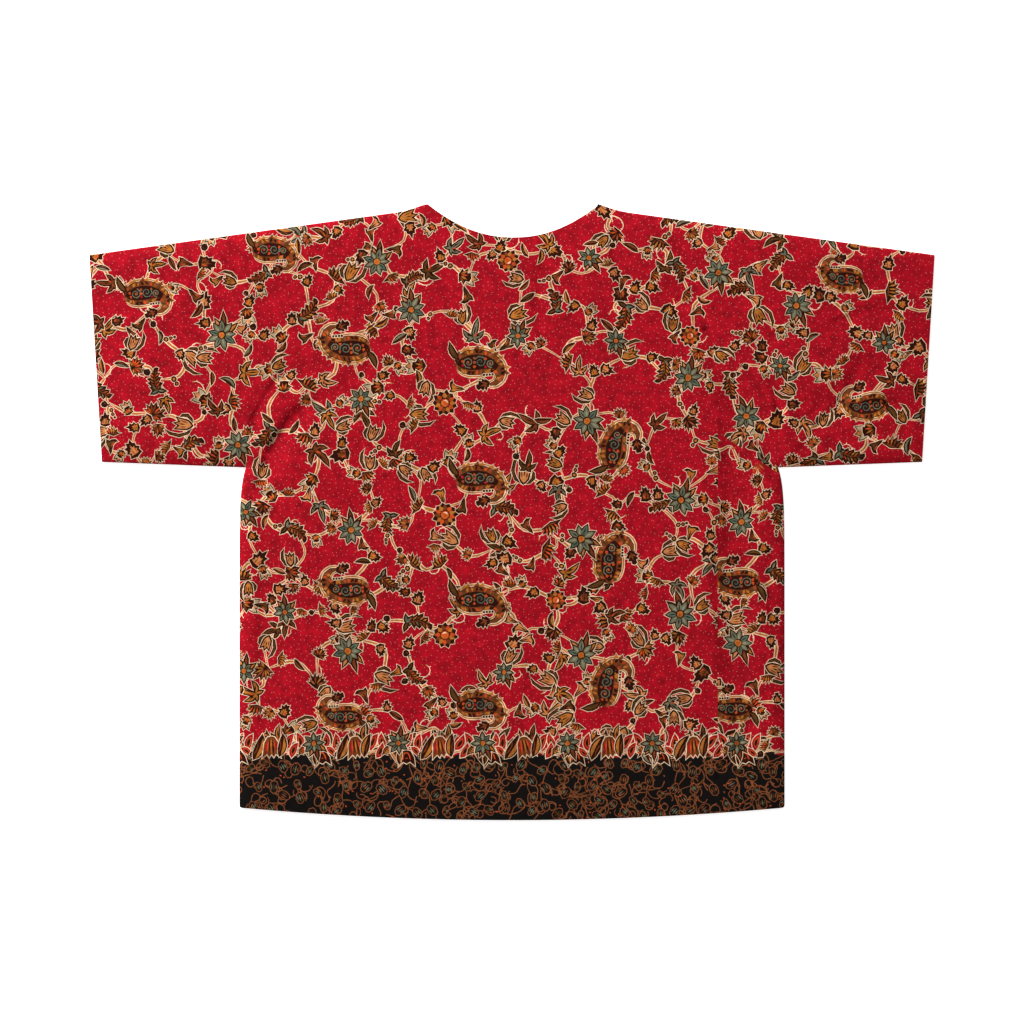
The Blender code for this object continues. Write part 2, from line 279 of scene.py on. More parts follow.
# Where the print breaks, at the fold beside the right side seam, and how far it moves there
BREAK_X = 205.5
BREAK_TOP = 80.0
BREAK_END = (264.0, 40.0)
BREAK_BEYOND = (PRINT_HALF, 30.0)
BREAK_SHIFT = (390.0, 8.0)

# The border at the hem
BORDER_TOP = -243.0
BORDER_HALF = 276.0
BORDER_STEP = 5.0
BORDER_WOBBLE = 3.0
BORDER_LINES = (("cream", 2.2), ("ochre", 0.9))
BUD_GAP = 12.6
BUD_TRIES = 4000
CURLS_PER_BUD = 2
LONG_CURLS = 90
CURL_STEP = 3.1
CURL_WIDTH = 0.95
BORDER_DOTS = 120
FRINGE_REPEAT = 84.5
FRINGE_START = -84.0

# Looks of the dyed cotton. A wave texture of scale 1 turns through WAVE_RADIANS in each metre.
DYE_SHARE = 0.6
DYE_UNEVENNESS = 0.5
DYE_NOISE_SCALE = 120.0
DOT_PITCH = 5.2
DOT_RADIUS = 0.38
DOT_STRENGTH = 0.48
DOT_RANDOMNESS = 0.85
DOT_DYE = (236, 140, 130)
THREAD_PITCH = 0.5
THREAD_HEIGHT = 0.08
WAVE_RADIANS = 20.0
RUMPLE_HEIGHT = 0.25
RUMPLE_NOISE_SCALE = 160.0

# Studio, in metres and watts
FLOOR_SIZE = 6.0
FLOOR_Z = -0.0004
WHITE = (1.0, 1.0, 1.0, 1.0)
PAPER = (0.93, 0.93, 0.93, 1.0)
# The floor glows by itself with this strength, which lightens the shirt's shadow on it: painted light, not a
# lamp.
PAPER_GLOW = 0.75
CAMERA_HEIGHT = 6.0
VIEW_WIDTH = 1.024
SENSOR = 36.0
CLIP_END = 20.0
WORLD_STRENGTH = 0.33
LAMP_WATTS = 640.0
LAMP_SIZE = 2.2
LAMP_PLACE = (-3.05, 3.15, 1.95)

# Main motifs of the print, placed on the cloth. A row is x, y, turn in degrees and size.
PAISLEYS = (
    (-31, 144, 0, 50), (-31, 28, 0, 50), (-31, -93, 0, 50), (-31, -198, 0, 48), (-167, 169, 180, 50),
    (-167, -73, 180, 48), (-172, -200, 180, 44), (329, 238, 175, 44), (352, 110, 190, 46),
    (-364, 214, 5, 46), (-237, 257, 0, 44), (108, 67, 80, 50), (103, -46, 85, 50), (100, -170, 80, 50),
)
FLOWERS = (
    (75, 91, 10, 33), (69, -27, 25, 34), (69, -143, 5, 33), (169, 12, 0, 32), (168, -102, 20, 33),
    (206, 239, 0, 30), (284, 206, 15, 32), (-290, 177, 8, 33), (-164, -139, 0, 32), (-161, -18, 12, 29),
    (-274, 67, 0, 29), (-101, 202, 18, 30), (-135, 250, 0, 29), (176, 134, 5, 32), (234, 96, 30, 29),
    (6, 176, 0, 24), (77, 254, 14, 24), (104, 171, 0, 24), (372, 169, 10, 24), (268, 146, 0, 22),
    (-266, 0, 20, 24), (-268, -159, 0, 24), (-227, -100, 15, 24), (-151, 113, 5, 27), (-8, -160, 0, 22),
)
ROSES = (
    (-67, 109, 0, 26), (-67, -3, 20, 26), (-67, -123, 40, 26), (-4, 251, 10, 24), (178, 176, 60, 22),
    (44, -88, 30, 22),
)


def mix(a, b, share):
    return a + (b - a) * share


def half_width(y):
    return BODY_HALF - (BODY_HALF - UNDERARM_HALF) * np.exp(-(UNDERARM_Y - y) / UNDERARM_EASE)


def armhole_x(y):
    return mix(UNDERARM_HALF, ARMHOLE_TOP_X, (y - UNDERARM_Y) / (ARMHOLE_TOP_Y - UNDERARM_Y))


def hem_y(x):
    return HEM_Y + HEM_RISE * (x / BODY_HALF) ** 2


def shoulder_y(x):
    near_neck = np.clip((NECK_RISE_FROM - abs(x)) / (NECK_RISE_FROM - NECK_HALF), 0.0, 1.0)
    return CUFF_TOP_Y + SHOULDER_SLOPE * (CUFF_TOP_X - abs(x)) + NECK_RISE * near_neck**NECK_RISE_POWER


def neck_share(x):
    return np.minimum(abs(x - NECK_X) / NECK_HALF, 1.0)


def back_neck_y(x):
    return NECK_POINT_Y - BACK_NECK_DEPTH * (1.0 - neck_share(x) ** BACK_NECK_POWER)


def front_neck_y(x):
    return NECK_POINT_Y - FRONT_NECK_DEPTH * np.sqrt(1.0 - neck_share(x) ** 2)


def underarm_y(x):
    share = (abs(x) - UNDERARM_HALF) / (CUFF_BOTTOM_X - UNDERARM_HALF)
    return mix(UNDERARM_Y, CUFF_BOTTOM_Y, share)


def cuff_x(y):
    return mix(CUFF_BOTTOM_X, CUFF_TOP_X, (y - CUFF_BOTTOM_Y) / (CUFF_TOP_Y - CUFF_BOTTOM_Y))


def eased(distance, reach):
    return 1.0 - np.exp(-np.maximum(distance, 0.0) / reach)


def seam_distance(x, y):
    """How far a place is from the nearest closed edge: shoulder, side seam or underarm seam."""
    to_shoulder = shoulder_y(x) - y
    beyond_side = np.maximum(0.0, half_width(np.minimum(y, UNDERARM_Y)) - abs(x))
    above_underarm = np.maximum(0.0, y - underarm_y(np.maximum(abs(x), UNDERARM_HALF)))
    return np.minimum(to_shoulder, np.hypot(beyond_side, above_underarm))


def open_distance(x, y):
    """How far a place is from the nearest open edge: hem, cuff or neck."""
    to_hem = np.where(abs(x) < BODY_HALF, y - hem_y(x), CUFF_TOP_X)
    to_cuff = np.where(y > 0.0, cuff_x(y) - abs(x), CUFF_TOP_X)
    beyond_neck = abs(x - NECK_X) - NECK_HALF
    beside_neck = np.hypot(beyond_neck, NECK_POINT_Y - y)
    to_neck = np.where(beyond_neck < 0.0, back_neck_y(x) - y, beside_neck)
    return np.minimum(np.minimum(to_hem, to_cuff), to_neck)


def smooth(rows, steps):
    """A smooth curve through rows of numbers, with so many steps between two of them."""
    rows = np.asarray(rows, float)
    ends = np.concatenate((rows[:1], rows, rows[-1:]))
    line = []
    for a, b, c, d in zip(ends, ends[1:], ends[2:], ends[3:]):
        for i in range(steps):
            t = i / steps
            line.append(
                0.5 * (-t + 2.0 * t**2 - t**3) * a
                + 0.5 * (2.0 - 5.0 * t**2 + 3.0 * t**3) * b
                + 0.5 * (t + 4.0 * t**2 - 3.0 * t**3) * c
                + 0.5 * (-(t**2) + t**3) * d
            )
    line.append(rows[-1])
    return np.array(line)


def fold_depth(x, y, line, steep=1.0, gentle=1.0):
    """Depth of one fold at many places, from the nearest point of its line."""
    reach = FOLD_REACH * max(steep, gentle) * line[:, 3].max()
    near = (x > line[:, 0].min() - reach) & (x < line[:, 0].max() + reach)
    near &= (y > line[:, 1].min() - reach) & (y < line[:, 1].max() + reach)
    whole = np.zeros(x.shape)
    x, y = x[near], y[near]
    nearest = np.full(x.shape, np.inf)
    depth = np.zeros(x.shape)
    for start, end in zip(line, line[1:]):
        along_x, along_y = end[0] - start[0], end[1] - start[1]
        share = ((x - start[0]) * along_x + (y - start[1]) * along_y) / (along_x**2 + along_y**2)
        share = np.clip(share, 0.0, 1.0)
        off_x, off_y = x - start[0] - share * along_x, y - start[1] - share * along_y
        away = np.hypot(off_x, off_y)
        leaning = eased(off_x * LEAN_X + off_y * LEAN_Y, LEAN_EASE)
        half = mix(start[3], end[3], share) * mix(gentle, steep, leaning)
        here = mix(start[2], end[2], share) * np.exp(-((away / half) ** 2))
        depth = np.where(away < nearest, here, depth)
        nearest = np.minimum(nearest, away)
    whole[near] = depth
    return whole


def summed(lines, x, y, *shares):
    """Depth of many folds together."""
    return sum(fold_depth(x, y, line, *shares) for line in lines)


def loft(x, y):
    """How far the top layer stands above its lowest place, which is just clear of the layer below."""
    open_share = mix(OPEN_EDGE_SHARE, 1.0, eased(open_distance(x, y), OPEN_EDGE_REACH))
    height = LOFT * eased(seam_distance(x, y), LOFT_REACH) * open_share
    folds = np.minimum(summed(FOLD_LINES, x, y, STEEP_SHARE, GENTLE_SHARE), LOFT)
    folds = folds + CREASE_DEPTH * summed(CREASE_LINES, x, y, STEEP_SHARE, GENTLE_SHARE)
    height = height - folds * np.minimum(height / LOFT, 1.0)
    return 0.5 * (height + np.sqrt(height**2 + SOFT_LANDING**2))


def under_lift(x, y):
    """How far the creases of the layer underneath stand up."""
    return summed(UNDER_CREASE_LINES, x, y) * eased(seam_distance(x, y), LOFT_REACH)


FOLD_LINES = [smooth(rows, FOLD_LINE_STEPS) for rows in FOLDS.values()]
CREASE_LINES = [smooth(rows, CREASE_LINE_STEPS) for rows in CREASES]
UNDER_CREASE_LINES = [smooth(rows, CREASE_LINE_STEPS) for rows in UNDER_CREASES]


def rolled(distance):
    """Goes from 0 at a closed edge to 1 where the cloth has turned level, in a quarter round."""
    return np.sqrt(1.0 - (1.0 - np.clip(distance / SEAM_ROLL, 0.0, 1.0)) ** 2)


def laid(points, depth, side, level):
    """Where a layer's cloth lies, so deep under its outer face, which looks up for side 1 and down for -1."""
    x, y = points.T
    turn = rolled(seam_distance(x, y))
    seam_z = 0.5 * TOP_FACE_Z + side * SEAM_CLEARANCE + side * SEAM_EDGE_CLOTH
    z = mix(seam_z, level(x, y), turn)
    return np.stack((x, y, z - side * depth * mix(SEAM_EDGE_CLOTH / CLOTH, 1.0, turn)), 1)


def place_back(points, depth):
    return laid(points, depth, 1.0, lambda x, y: TOP_FACE_Z + loft(x, y))


def place_front(points, depth):
    return laid(points, depth, -1.0, under_lift)


def sleeve_fold_y(x):
    return shoulder_y(x) - FOLDED_EDGE_RADIUS


def sleeve_start(x):
    """Where a sleeve's cut begins: at the underarm seam, half way down the lower folded edge."""
    return underarm_y(x) + FOLDED_EDGE_RADIUS * (1.0 - 0.5 * math.pi)


def sleeve_end(x):
    around = FOLDED_EDGE_RADIUS * math.pi
    return 2.0 * sleeve_fold_y(x) + 2.0 * around - underarm_y(x) - FOLDED_EDGE_RADIUS - 0.5 * around


def sleeve_laid_y(x, w):
    """The Y at which a place on a sleeve's cut lies once it is folded."""
    fold = sleeve_fold_y(x)
    return np.where(w < fold, w, np.maximum(2.0 * fold + math.pi * FOLDED_EDGE_RADIUS - w, underarm_y(x)))


def place_sleeve(points, depth):
    """Where a sleeve's cloth lies. The cut runs from the underarm over the top, round the fold and back."""
    x, w = points.T
    radius = FOLDED_EDGE_RADIUS - depth
    fold = sleeve_fold_y(x)
    low = underarm_y(x) + FOLDED_EDGE_RADIUS
    high_turn = np.clip((w - fold) / FOLDED_EDGE_RADIUS, 0.0, math.pi)
    back = 2.0 * fold + math.pi * FOLDED_EDGE_RADIUS - w
    on_top = high_turn < math.pi
    low_turn = np.clip((low - np.where(on_top, w, back)) / FOLDED_EDGE_RADIUS, 0.0, 0.5 * math.pi)
    level = np.where(on_top, np.clip(w, low, fold), np.maximum(back, low))
    y = level + radius * (np.sin(high_turn) - np.sin(low_turn))
    over = np.cos(high_turn) * np.cos(low_turn)
    lifted = loft(x, level) * 0.5 * (1.0 + np.cos(high_turn)) * np.cos(low_turn)
    return np.stack((x, y, FOLDED_EDGE_RADIUS + radius * over + lifted), 1)


def inside(points, outline):
    """For each point, whether the closed outline winds round it."""
    x, y = points[:, 0, None], points[:, 1, None]
    ax, ay = outline.T
    bx, by = np.roll(ax, -1), np.roll(ay, -1)
    left = (bx - ax) * (y - ay) - (x - ax) * (by - ay)
    up = (ay <= y) & (by > y) & (left > 0.0)
    down = (ay > y) & (by <= y) & (left < 0.0)
    return up.sum(1) != down.sum(1)


def lengths(vectors):
    return np.maximum(np.hypot(vectors[:, 0], vectors[:, 1]), TINY)[:, None]


def grown(outline, amount):
    """A closed outline moved outward by an amount."""
    edges = np.roll(outline, -1, 0) - outline
    twice_area = np.sum(outline[:, 0] * edges[:, 1] - outline[:, 1] * edges[:, 0])
    normals = np.stack((edges[:, 1], -edges[:, 0]), 1) / lengths(edges) * math.copysign(1.0, twice_area)
    both = normals + np.roll(normals, 1, 0)
    both /= lengths(both)
    reach = np.minimum(1.0 / np.maximum(np.sum(both * normals, 1), TINY), SPIKE_LIMIT)
    return outline + amount * both * reach[:, None]


def directions(path):
    """At each point of a path, its step onward and the unit vector to its left."""
    along = np.gradient(path, axis=0)
    return along, np.stack((-along[:, 1], along[:, 0]), 1) / lengths(along)


def ribbon(path, widths):
    """The closed outline of a line along a path, of one width or of one for each point."""
    path = np.asarray(path, float)
    across = directions(path)[1] * (0.5 * np.broadcast_to(np.asarray(widths, float), len(path))[:, None])
    outline = np.concatenate((path + across, (path - across)[::-1]))
    return outline[np.hypot(*(outline - np.roll(outline, 1, 0)).T) > TINY]


def moved(outline, x, y, turn=0.0, size=1.0, mirror=1.0):
    """An outline in another place, turned by degrees."""
    c, s = math.cos(math.radians(turn)), math.sin(math.radians(turn))
    u, v = size * outline[:, 0], size * mirror * outline[:, 1]
    return np.stack((x + c * u - s * v, y + s * u + c * v), 1)


def spun(outline, turn):
    """An outline turned by degrees about its origin."""
    return moved(outline, 0.0, 0.0, turn)


def around(radius, count):
    turns = 2.0 * math.pi * np.arange(count) / count
    return np.stack((radius * np.cos(turns), radius * np.sin(turns)), 1)


def shaken(outline, rng, amount):
    return outline + np.array([(rng.uniform(-amount, amount), rng.uniform(-amount, amount)) for _ in outline])


def mirrored(upper, start, end):
    """A closed outline from start over the upper points to end, and back under."""
    return np.array([start, *upper, end, *[(x, -y) for x, y in reversed(upper)]], float)


def edged(parts, dark=DARK_LINE):
    """Filled outlines with one dark line and one cream edge round them all."""
    cream = [("cream", grown(outline, dark + EDGE)) for _, outline in parts]
    return cream + [("dark", grown(outline, dark)) for _, outline in parts] + list(parts)


def rimmed(body, edge=EDGE, fill="dark"):
    """A filled outline with a cream edge."""
    return [("cream", grown(body, edge)), (fill, body)]


def cream_first(layers):
    """The layers with the cream ones under all others, so that no edge lies on a neighbour."""
    return sorted(layers, key=lambda layer: layer[0] != "cream")


def leaf_outline(length, width, teeth):
    """A leaf from its stalk at the origin to its tip at +X, with pointed teeth on both sides."""
    upper = []
    for i in range(1, 2 * teeth):
        share = i / (2.0 * teeth)
        half = 0.5 * width * math.sin(math.pi * share**0.75) ** 0.7
        tip = i % 2
        upper.append((length * (share + TOOTH_LEAN * tip), half * (1.14 if tip else 0.66)))
    return mirrored(upper, (0.0, 0.0), (length, 0.0))


def sliver(start, end, width):
    """A short line that is widest in its middle."""
    start, end = np.array(start, float), np.array(end, float)
    across = 0.5 * width * np.array((start[1] - end[1], end[0] - start[0])) / math.dist(start, end)
    middle = mix(start, end, 0.45)
    return np.array((start, middle - across, end, middle + across))


def stroke(size, ax, ay, bx, by, width):
    """A sliver between two places that are given as shares of a size."""
    return sliver((ax * size, ay * size), (bx * size, by * size), width)


def blade(length, width, bend, steps=4):
    """A slender leaf from the origin to +X, bent sideways."""
    share = np.arange(steps + 1) / steps
    path = np.stack((length * share, bend * np.sin(math.pi * share)), 1)
    return ribbon(path, width * np.sin(math.pi * share**0.85) ** 0.8)


# Each motif is drawn from its stalk at the origin toward +X, and gives its layers, lowest first, and the
# place in it that goes where it is stamped. What is times a size is a share of it, and other lengths are
# in mm. These outlines are for a motif of size 1.
WING = (
    (0.0, 0.0), (0.03, 0.1), (-0.06, 0.24), (0.12, 0.24), (0.08, 0.44), (0.29, 0.3), (0.3, 0.54),
    (0.47, 0.3), (0.52, 0.52), (0.64, 0.24), (0.74, 0.38), (0.78, 0.12), (1.06, 0.02), (0.5, -0.14),
)
PENNANT = (
    (0.0, 0.04), (0.2, -0.07), (0.44, -0.12), (0.66, -0.2), (0.84, -0.36), (0.86, -0.56), (1.02, -0.38),
    (1.02, -0.16), (0.94, 0.04), (1.04, 0.24), (0.8, 0.26), (0.56, 0.16), (0.26, 0.12),
)
BELL = ((0.08, 0.1), (0.26, 0.22), (0.5, 0.25), (0.86, 0.3), (0.66, 0.09))
SEPAL = ((0.0, 0.08), (0.12, 0.4), (0.5, 0.6), (0.95, 0.56), (1.2, 0.4))
SEPAL_WIDTHS = (0.02, 0.05, 0.085, 0.05, 0.0)
PETAL = ((0.3, 0.08), (0.55, 0.175), (0.78, 0.12))
FRINGE_BELL = ((0.04, 0.16), (0.3, 0.32), (0.62, 0.36), (1.0, 0.44), (0.8, 0.2), (0.96, 0.1))
FRINGE_CUP = ((0.1, 0.26), (0.5, 0.46), (1.0, 0.5), (0.72, 0.2))

# The lobes at a flame's sides, as turn, length, width and bend
SIDE_LOBES = (
    (58.0, 0.58, 0.15, 0.08), (-58.0, 0.58, 0.15, -0.08), (125.0, 0.32, 0.12, 0.0), (-125.0, 0.32, 0.12, 0.0),
)


def toothed_leaf(rng, size):
    """A tan leaf with a pointed tip and a dark rim of small teeth that is broad at its outer end."""
    teeth = rng.choice((6, 7))
    rim, core = [(0.0, 0.0)], []
    for i in range(2 * teeth + 1):
        turn = math.radians(mix(-126.0, 126.0, i / (2.0 * teeth)))
        tip = 1.0 + 0.3 * math.exp(-((turn / 0.36) ** 2))
        reach = (0.34 if i % 2 else 0.49) * tip * rng.uniform(0.9, 1.1)
        rim.append((0.42 + 1.06 * reach * math.cos(turn), 0.86 * reach * math.sin(turn)))
        reach = (0.25 if i % 2 else 0.16) * tip * rng.uniform(0.86, 1.14)
        core.append((0.31 + 1.2 * reach * math.cos(turn), 0.98 * reach * math.sin(turn)))
    fill = rng.choice(("tan", "tan", "tan", "ochre", "ochre", "brown"))
    layers = rimmed(size * np.array(rim)) + [(fill, size * np.array(core))]
    layers.append(("orange", stroke(size, 0.2, -0.08, 0.5, -0.14, 1.7)))
    layers.append(("dark" if fill == "brown" else "brown", stroke(size, 0.12, 0.02, 0.56, 0.08, 1.2)))
    return layers, (0.45 * size, 0.0)


def fan_leaf(rng, size):
    """Dark pointed leaflets with brown veins, round the stalk or along one side of it."""
    if rng.random() < 0.6:
        return wing_leaf(rng, size)
    tips = rng.choice((9, 11))
    turns = [math.radians(t + rng.uniform(-4.0, 4.0)) for t in np.linspace(-FAN_SPREAD, FAN_SPREAD, tips)]
    reach = [size * (0.36 + 0.34 * math.cos(0.5 * t) ** 3) * rng.uniform(0.86, 1.1) for t in turns]
    outline, veins = [(-0.14 * size, 0.02 * size)], []
    for i, (turn, length) in enumerate(zip(turns, reach)):
        way = np.array((math.cos(turn), math.sin(turn)))
        outline.append(tuple(length * way))
        if i % 2 or tips == 9:
            ink = rng.choice(("brown", "ochre", "orange", "rust"))
            veins.append((ink, sliver(0.12 * length * way, 0.84 * length * way, 1.8)))
        if i < tips - 1:
            between = 0.5 * (turn + turns[i + 1])
            notch = 0.72 * min(length, reach[i + 1])
            outline.append((notch * math.cos(between), notch * math.sin(between)))
    return rimmed(np.array(outline)) + veins, (0.18 * size, 0.0)


def wing_leaf(rng, size):
    """Dark pointed leaflets along one side of a stalk."""
    body = shaken(size * np.array(WING), rng, 0.03 * size)
    veins = []
    for k in range(5):
        start = np.array((mix(0.12, 0.62, k / 4.0), 0.0)) * size
        ink = rng.choice(("brown", "ochre", "ochre", "orange"))
        veins.append((ink, sliver(start, mix(start, body[2 + 2 * k], 0.86), 1.9)))
    veins.append(("brown", stroke(size, 0.14, -0.03, 0.9, 0.0, 1.5)))
    return rimmed(body) + veins, (0.45 * size, 0.16 * size)


def lobed_leaf(rng, size):
    """A flame with pointed lobes at its sides."""
    fill = rng.choice(("brown", "ochre", "ochre", "olive", "tan", "brown", "ochre", "grey_teal"))
    middle_lobe = (0.0, 0.95, 0.2, rng.uniform(-0.14, 0.14))
    parts, veins = [], []
    for turn, length, width, bend in (middle_lobe, *SIDE_LOBES):
        turn += rng.uniform(-8.0, 8.0)
        parts.append((fill, spun(blade(length * size, width * size, bend * size), turn)))
        veins.append(("dark", spun(stroke(size, 0.1, 0.0, 0.74 * length, 0.9 * bend, 1.5), turn)))
    mark = moved(blade(0.3 * size, 0.09 * size, 0.0, 3), 0.04 * size, 0.05 * size, 24.0)
    return edged(parts, 1.5) + veins[:3] + [("orange", mark)], (0.3 * size, 0.0)


def blade_leaf(rng, size):
    """A slender dark leaf with a lighter stripe on each side of its vein."""
    length, bend = 1.12 * size, rng.uniform(-0.24, 0.24) * size
    fill = rng.choice(("olive", "ochre", "brown", "tan", "ochre", "brown", "grey_teal"))
    half = moved(blade(0.82 * length, 0.13 * size, 0.9 * bend), 0.08 * length, 0.065 * size)
    stripe = sliver((0.0, 0.0), (0.56 * length, 0.4 * bend), 1.1)
    stripe = moved(stripe, 0.2 * length, 0.3 * bend - 0.1 * size)
    layers = rimmed(blade(length, 0.38 * size, bend, 5)) + [(fill, half), ("brown", stripe)]
    return layers, (0.5 * length, 0.3 * bend)


def pennant(rng, size):
    """A leaf that bends and widens to a hooked tip on one side and a blunt one on the other."""
    fill = rng.choice(("brown", "olive", "ochre", "tan"))
    body = size * np.array(PENNANT)
    heart = 0.72 * (body - (0.55 * size, 0.0)) + (0.57 * size, 0.01 * size)
    layers = [("cream", grown(body, EDGE + 0.4)), ("dark", grown(body, 0.4)), (fill, heart)]
    layers.append(("dark", stroke(size, 0.14, 0.02, 0.78, 0.0, 1.5)))
    layers.append(("orange", stroke(size, 0.5, -0.06, 0.86, -0.26, 1.3)))
    return layers, (0.5 * size, 0.0)


def half_open(rng, size):
    """A bloom seen from the side: pale petals out of a dark toothed cup with orange marks."""
    petal = blade(0.56 * size, 0.24 * size, 0.02 * size)
    turns = (("pale", -32.0), ("tan", 0.0), ("pale", 32.0))
    petals = [(ink, moved(petal, 0.36 * size, 0.0, turn)) for ink, turn in turns]
    cup = shaken(leaf_outline(0.64 * size, 0.74 * size, 3), rng, 0.03 * size)
    mark = stroke(size, 0.14, 0.0, 0.5, 0.0, 2.2)
    turns = (("ochre", -34.0), ("orange", -10.0), ("ochre", 14.0), ("brown", 38.0))
    marks = [(ink, spun(mark, turn)) for ink, turn in turns]
    return edged(petals, 1.0) + rimmed(cup) + marks, (0.42 * size, 0.0)


def beads(rng, size):
    """Two or three round drops in a row, each smaller than the one before."""
    layers, x = [], 0.0
    for k in range(rng.choice((2, 3))):
        radius = (0.24 - 0.05 * k) * size
        drop = shaken(moved(around(radius, 7), x, rng.uniform(-0.06, 0.06) * size), rng, 0.12 * radius)
        core = (("ochre", "rust", "olive")[k], 0.45 * drop + 0.55 * drop.mean(0))
        layers = [("cream", grown(drop, EDGE))] + layers + [("dark", drop), core]
        x += 1.75 * radius
    return layers, (0.2 * size, 0.0)


def tulip(rng, size):
    """A tan bell with a crown of three tips, a dark rim, one long sepal and a short one."""
    bell = size * mirrored(BELL, (0.0, 0.0), (0.94, 0.0))
    sepals, marks = [], [("dark", stroke(size, 0.3, 0.0, 0.78, 0.0, 1.4))]
    for side, reach in ((1.0, 1.15), (-1.0, 0.6)):
        path = size * smooth([(reach * x, side * y * mix(1.0, reach, 0.4)) for x, y in SEPAL], 1)
        sepals.append(("olive", ribbon(path, size * np.array(SEPAL_WIDTHS))))
        marks.append(("brown", stroke(size, 0.2, 0.1 * side, 0.7, 0.19 * side, 1.5)))
    fill = rng.choice(("tan", "tan", "ochre"))
    return edged(sepals, 1.1) + edged([(fill, 0.94 * bell)]) + marks, (0.45 * size, 0.0)


def berry(rng, size):
    """A small round fruit with a short tip."""
    body = shaken(around(0.4 * size, 8), rng, 0.05 * size)
    tip = size * mirrored(((-0.7, 0.14), (-0.5, 0.24)), (-0.4, 0.0), (-0.3, 0.0))
    mark = (rng.choice(("olive", "deep_teal", "brown")), stroke(size, -0.2, 0.12, 0.22, 0.12, 1.4))
    return cream_first(rimmed(tip, 0.4 * EDGE) + rimmed(body)) + [mark], (0.0, 0.0)


def plume(rng, size):
    """A broad dark leaf like a feather, with slanted barbs on both sides and small leaflets at its foot."""
    bend = rng.uniform(0.1, 0.2) * size

    def bent(outline):
        return outline + np.stack((0.0 * outline[:, 0], bend * np.sin(math.pi * outline[:, 0] / size)), 1)

    body = bent(shaken(leaf_outline(size, 0.58 * size, 5), rng, 0.022 * size))
    leaflet = blade(0.28 * size, 0.09 * size, 0.0)
    feet, barbs = [], []
    for turn in (64.0, 112.0, -98.0):
        feet.append((rng.choice(("grey_teal", "teal", "olive")), moved(leaflet, 0.04 * size, 0.0, turn)))
    for k in range(6):
        share = mix(0.1, 0.74, k / 5.0)
        for side in (1.0, -1.0):
            root = np.array((share, 0.03 * side)) * size
            tip = root + np.array((0.14, 0.17 * side * math.sin(math.pi * (share + 0.1)) ** 0.6)) * size
            ink = rng.choice(("ochre", "brown", "orange", "ochre", "rust", "brown", "grey_teal"))
            barbs.append((ink, bent(sliver(root, tip, 0.062 * size))))
    share = np.array((0.06, 0.49, 0.92))
    spine = ribbon(np.stack((size * share, bend * np.sin(math.pi * share)), 1), (0.7, 1.1, 0.2))
    return cream_first(rimmed(body) + edged(feet)) + barbs + [("brown", spine)], (0.5 * size, 0.5 * bend)


def flower(rng, size):
    """A teal star of pointed petals round an orange eye, with ochre leaves at its foot."""
    petals = 9 if size > SMALL_FLOWER else 8
    turns = [360.0 * (i + rng.uniform(-0.13, 0.13)) / petals for i in range(petals)]
    fills, lines, foot = [], [], []
    for i, turn in enumerate(turns):
        length = 0.5 * size * rng.uniform(0.84, 1.06)
        petal = spun(length * mirrored(PETAL, (0.12, 0.0), (0.98, 0.0)), turn)
        fills.append((("grey_teal", "teal", "grey_teal", "moss")[i % 4], petal))
        lines.append((("mist", "deep_teal")[i % 2], spun(stroke(length, 0.24, 0.0, 0.84, 0.0, 1.7), turn)))
    for turn, reach, fill in ((-74.0, 0.76, "brown"), (-36.0, 0.62, "ochre"), (-112.0, 0.56, "tan")):
        leaf = blade(reach * size, 0.13 * size, 0.03 * size)
        foot.append((fill, spun(leaf, turn + rng.uniform(-8.0, 8.0))))
    eye = [("dark", around(0.15 * size, 9)), ("ochre", shaken(around(0.11 * size, 8), rng, 0.02 * size))]
    mark = stroke(size, -0.02, 0.0, 0.1, 0.0, 1.5)
    eye += [("orange", spun(mark, 120.0 * k + 20.0)) for k in range(3)]
    return cream_first(edged(foot) + edged(fills, PETAL_LINE)) + lines + eye, (0.0, 0.0)


def rose(rng, size):
    """A round bloom with a dark toothed rim, orange and ochre petals and dark hatching."""
    teeth = 11
    rim = []
    for i in range(2 * teeth):
        reach = 0.5 * size * (rng.uniform(0.92, 1.08) if i % 2 else 0.8)
        rim.append((reach * math.cos(math.pi * i / teeth), reach * math.sin(math.pi * i / teeth)))
    layers = rimmed(np.array(rim))
    petal = stroke(size, 0.14, 0.0, 0.42, 0.0, 0.19 * size)
    for i in range(teeth):
        turn = 360.0 * (i + rng.uniform(-0.2, 0.2)) / teeth
        layers.append((("ochre", "orange", "brown")[i % 3], spun(petal, turn)))
    layers += [("dark", around(0.2 * size, 10)), ("orange", around(0.165 * size, 9))]
    arc = ribbon(around(0.1 * size, 9)[:4], (0.3, 1.2, 1.2, 0.3))
    for i in range(3):
        layers.append(("ochre" if i else "cream", spun(arc, 120.0 * i + rng.uniform(-20.0, 20.0))))
    return layers, (0.0, 0.0)


# A paisley's middle line and half width there, at its charted size of 50: fat end to curled tail
PAISLEY_SIZE = 50.0
PAISLEY_ROWS = (
    (-25.5, 0.5, 1.2), (-24.0, 0.8, 5.8), (-19.5, 1.4, 9.8), (-12.5, 2.2, 12.3), (-4.0, 2.8, 12.8),
    (4.0, 2.6, 11.8), (11.0, 1.0, 9.8), (16.5, -2.6, 7.4), (19.2, -8.4, 5.2), (18.4, -14.0, 3.5),
    (14.0, -18.4, 2.2), (8.5, -19.6, 1.0),
)
PAISLEY_BANDS = (
    ("cream", -3.2), ("ochre", -2.4), ("cream", -1.0), ("dark", -0.4), ("brown", 0.3), ("dark", 5.0),
)
PAISLEY_MARKS = ("dark", "ochre", "olive", "orange", "dark", "ochre", "rust")
PAISLEY_CURLS = ((-12.5, 2.4, 5.8), (-0.6, 3.0, 6.2), (9.6, 1.4, 4.2))
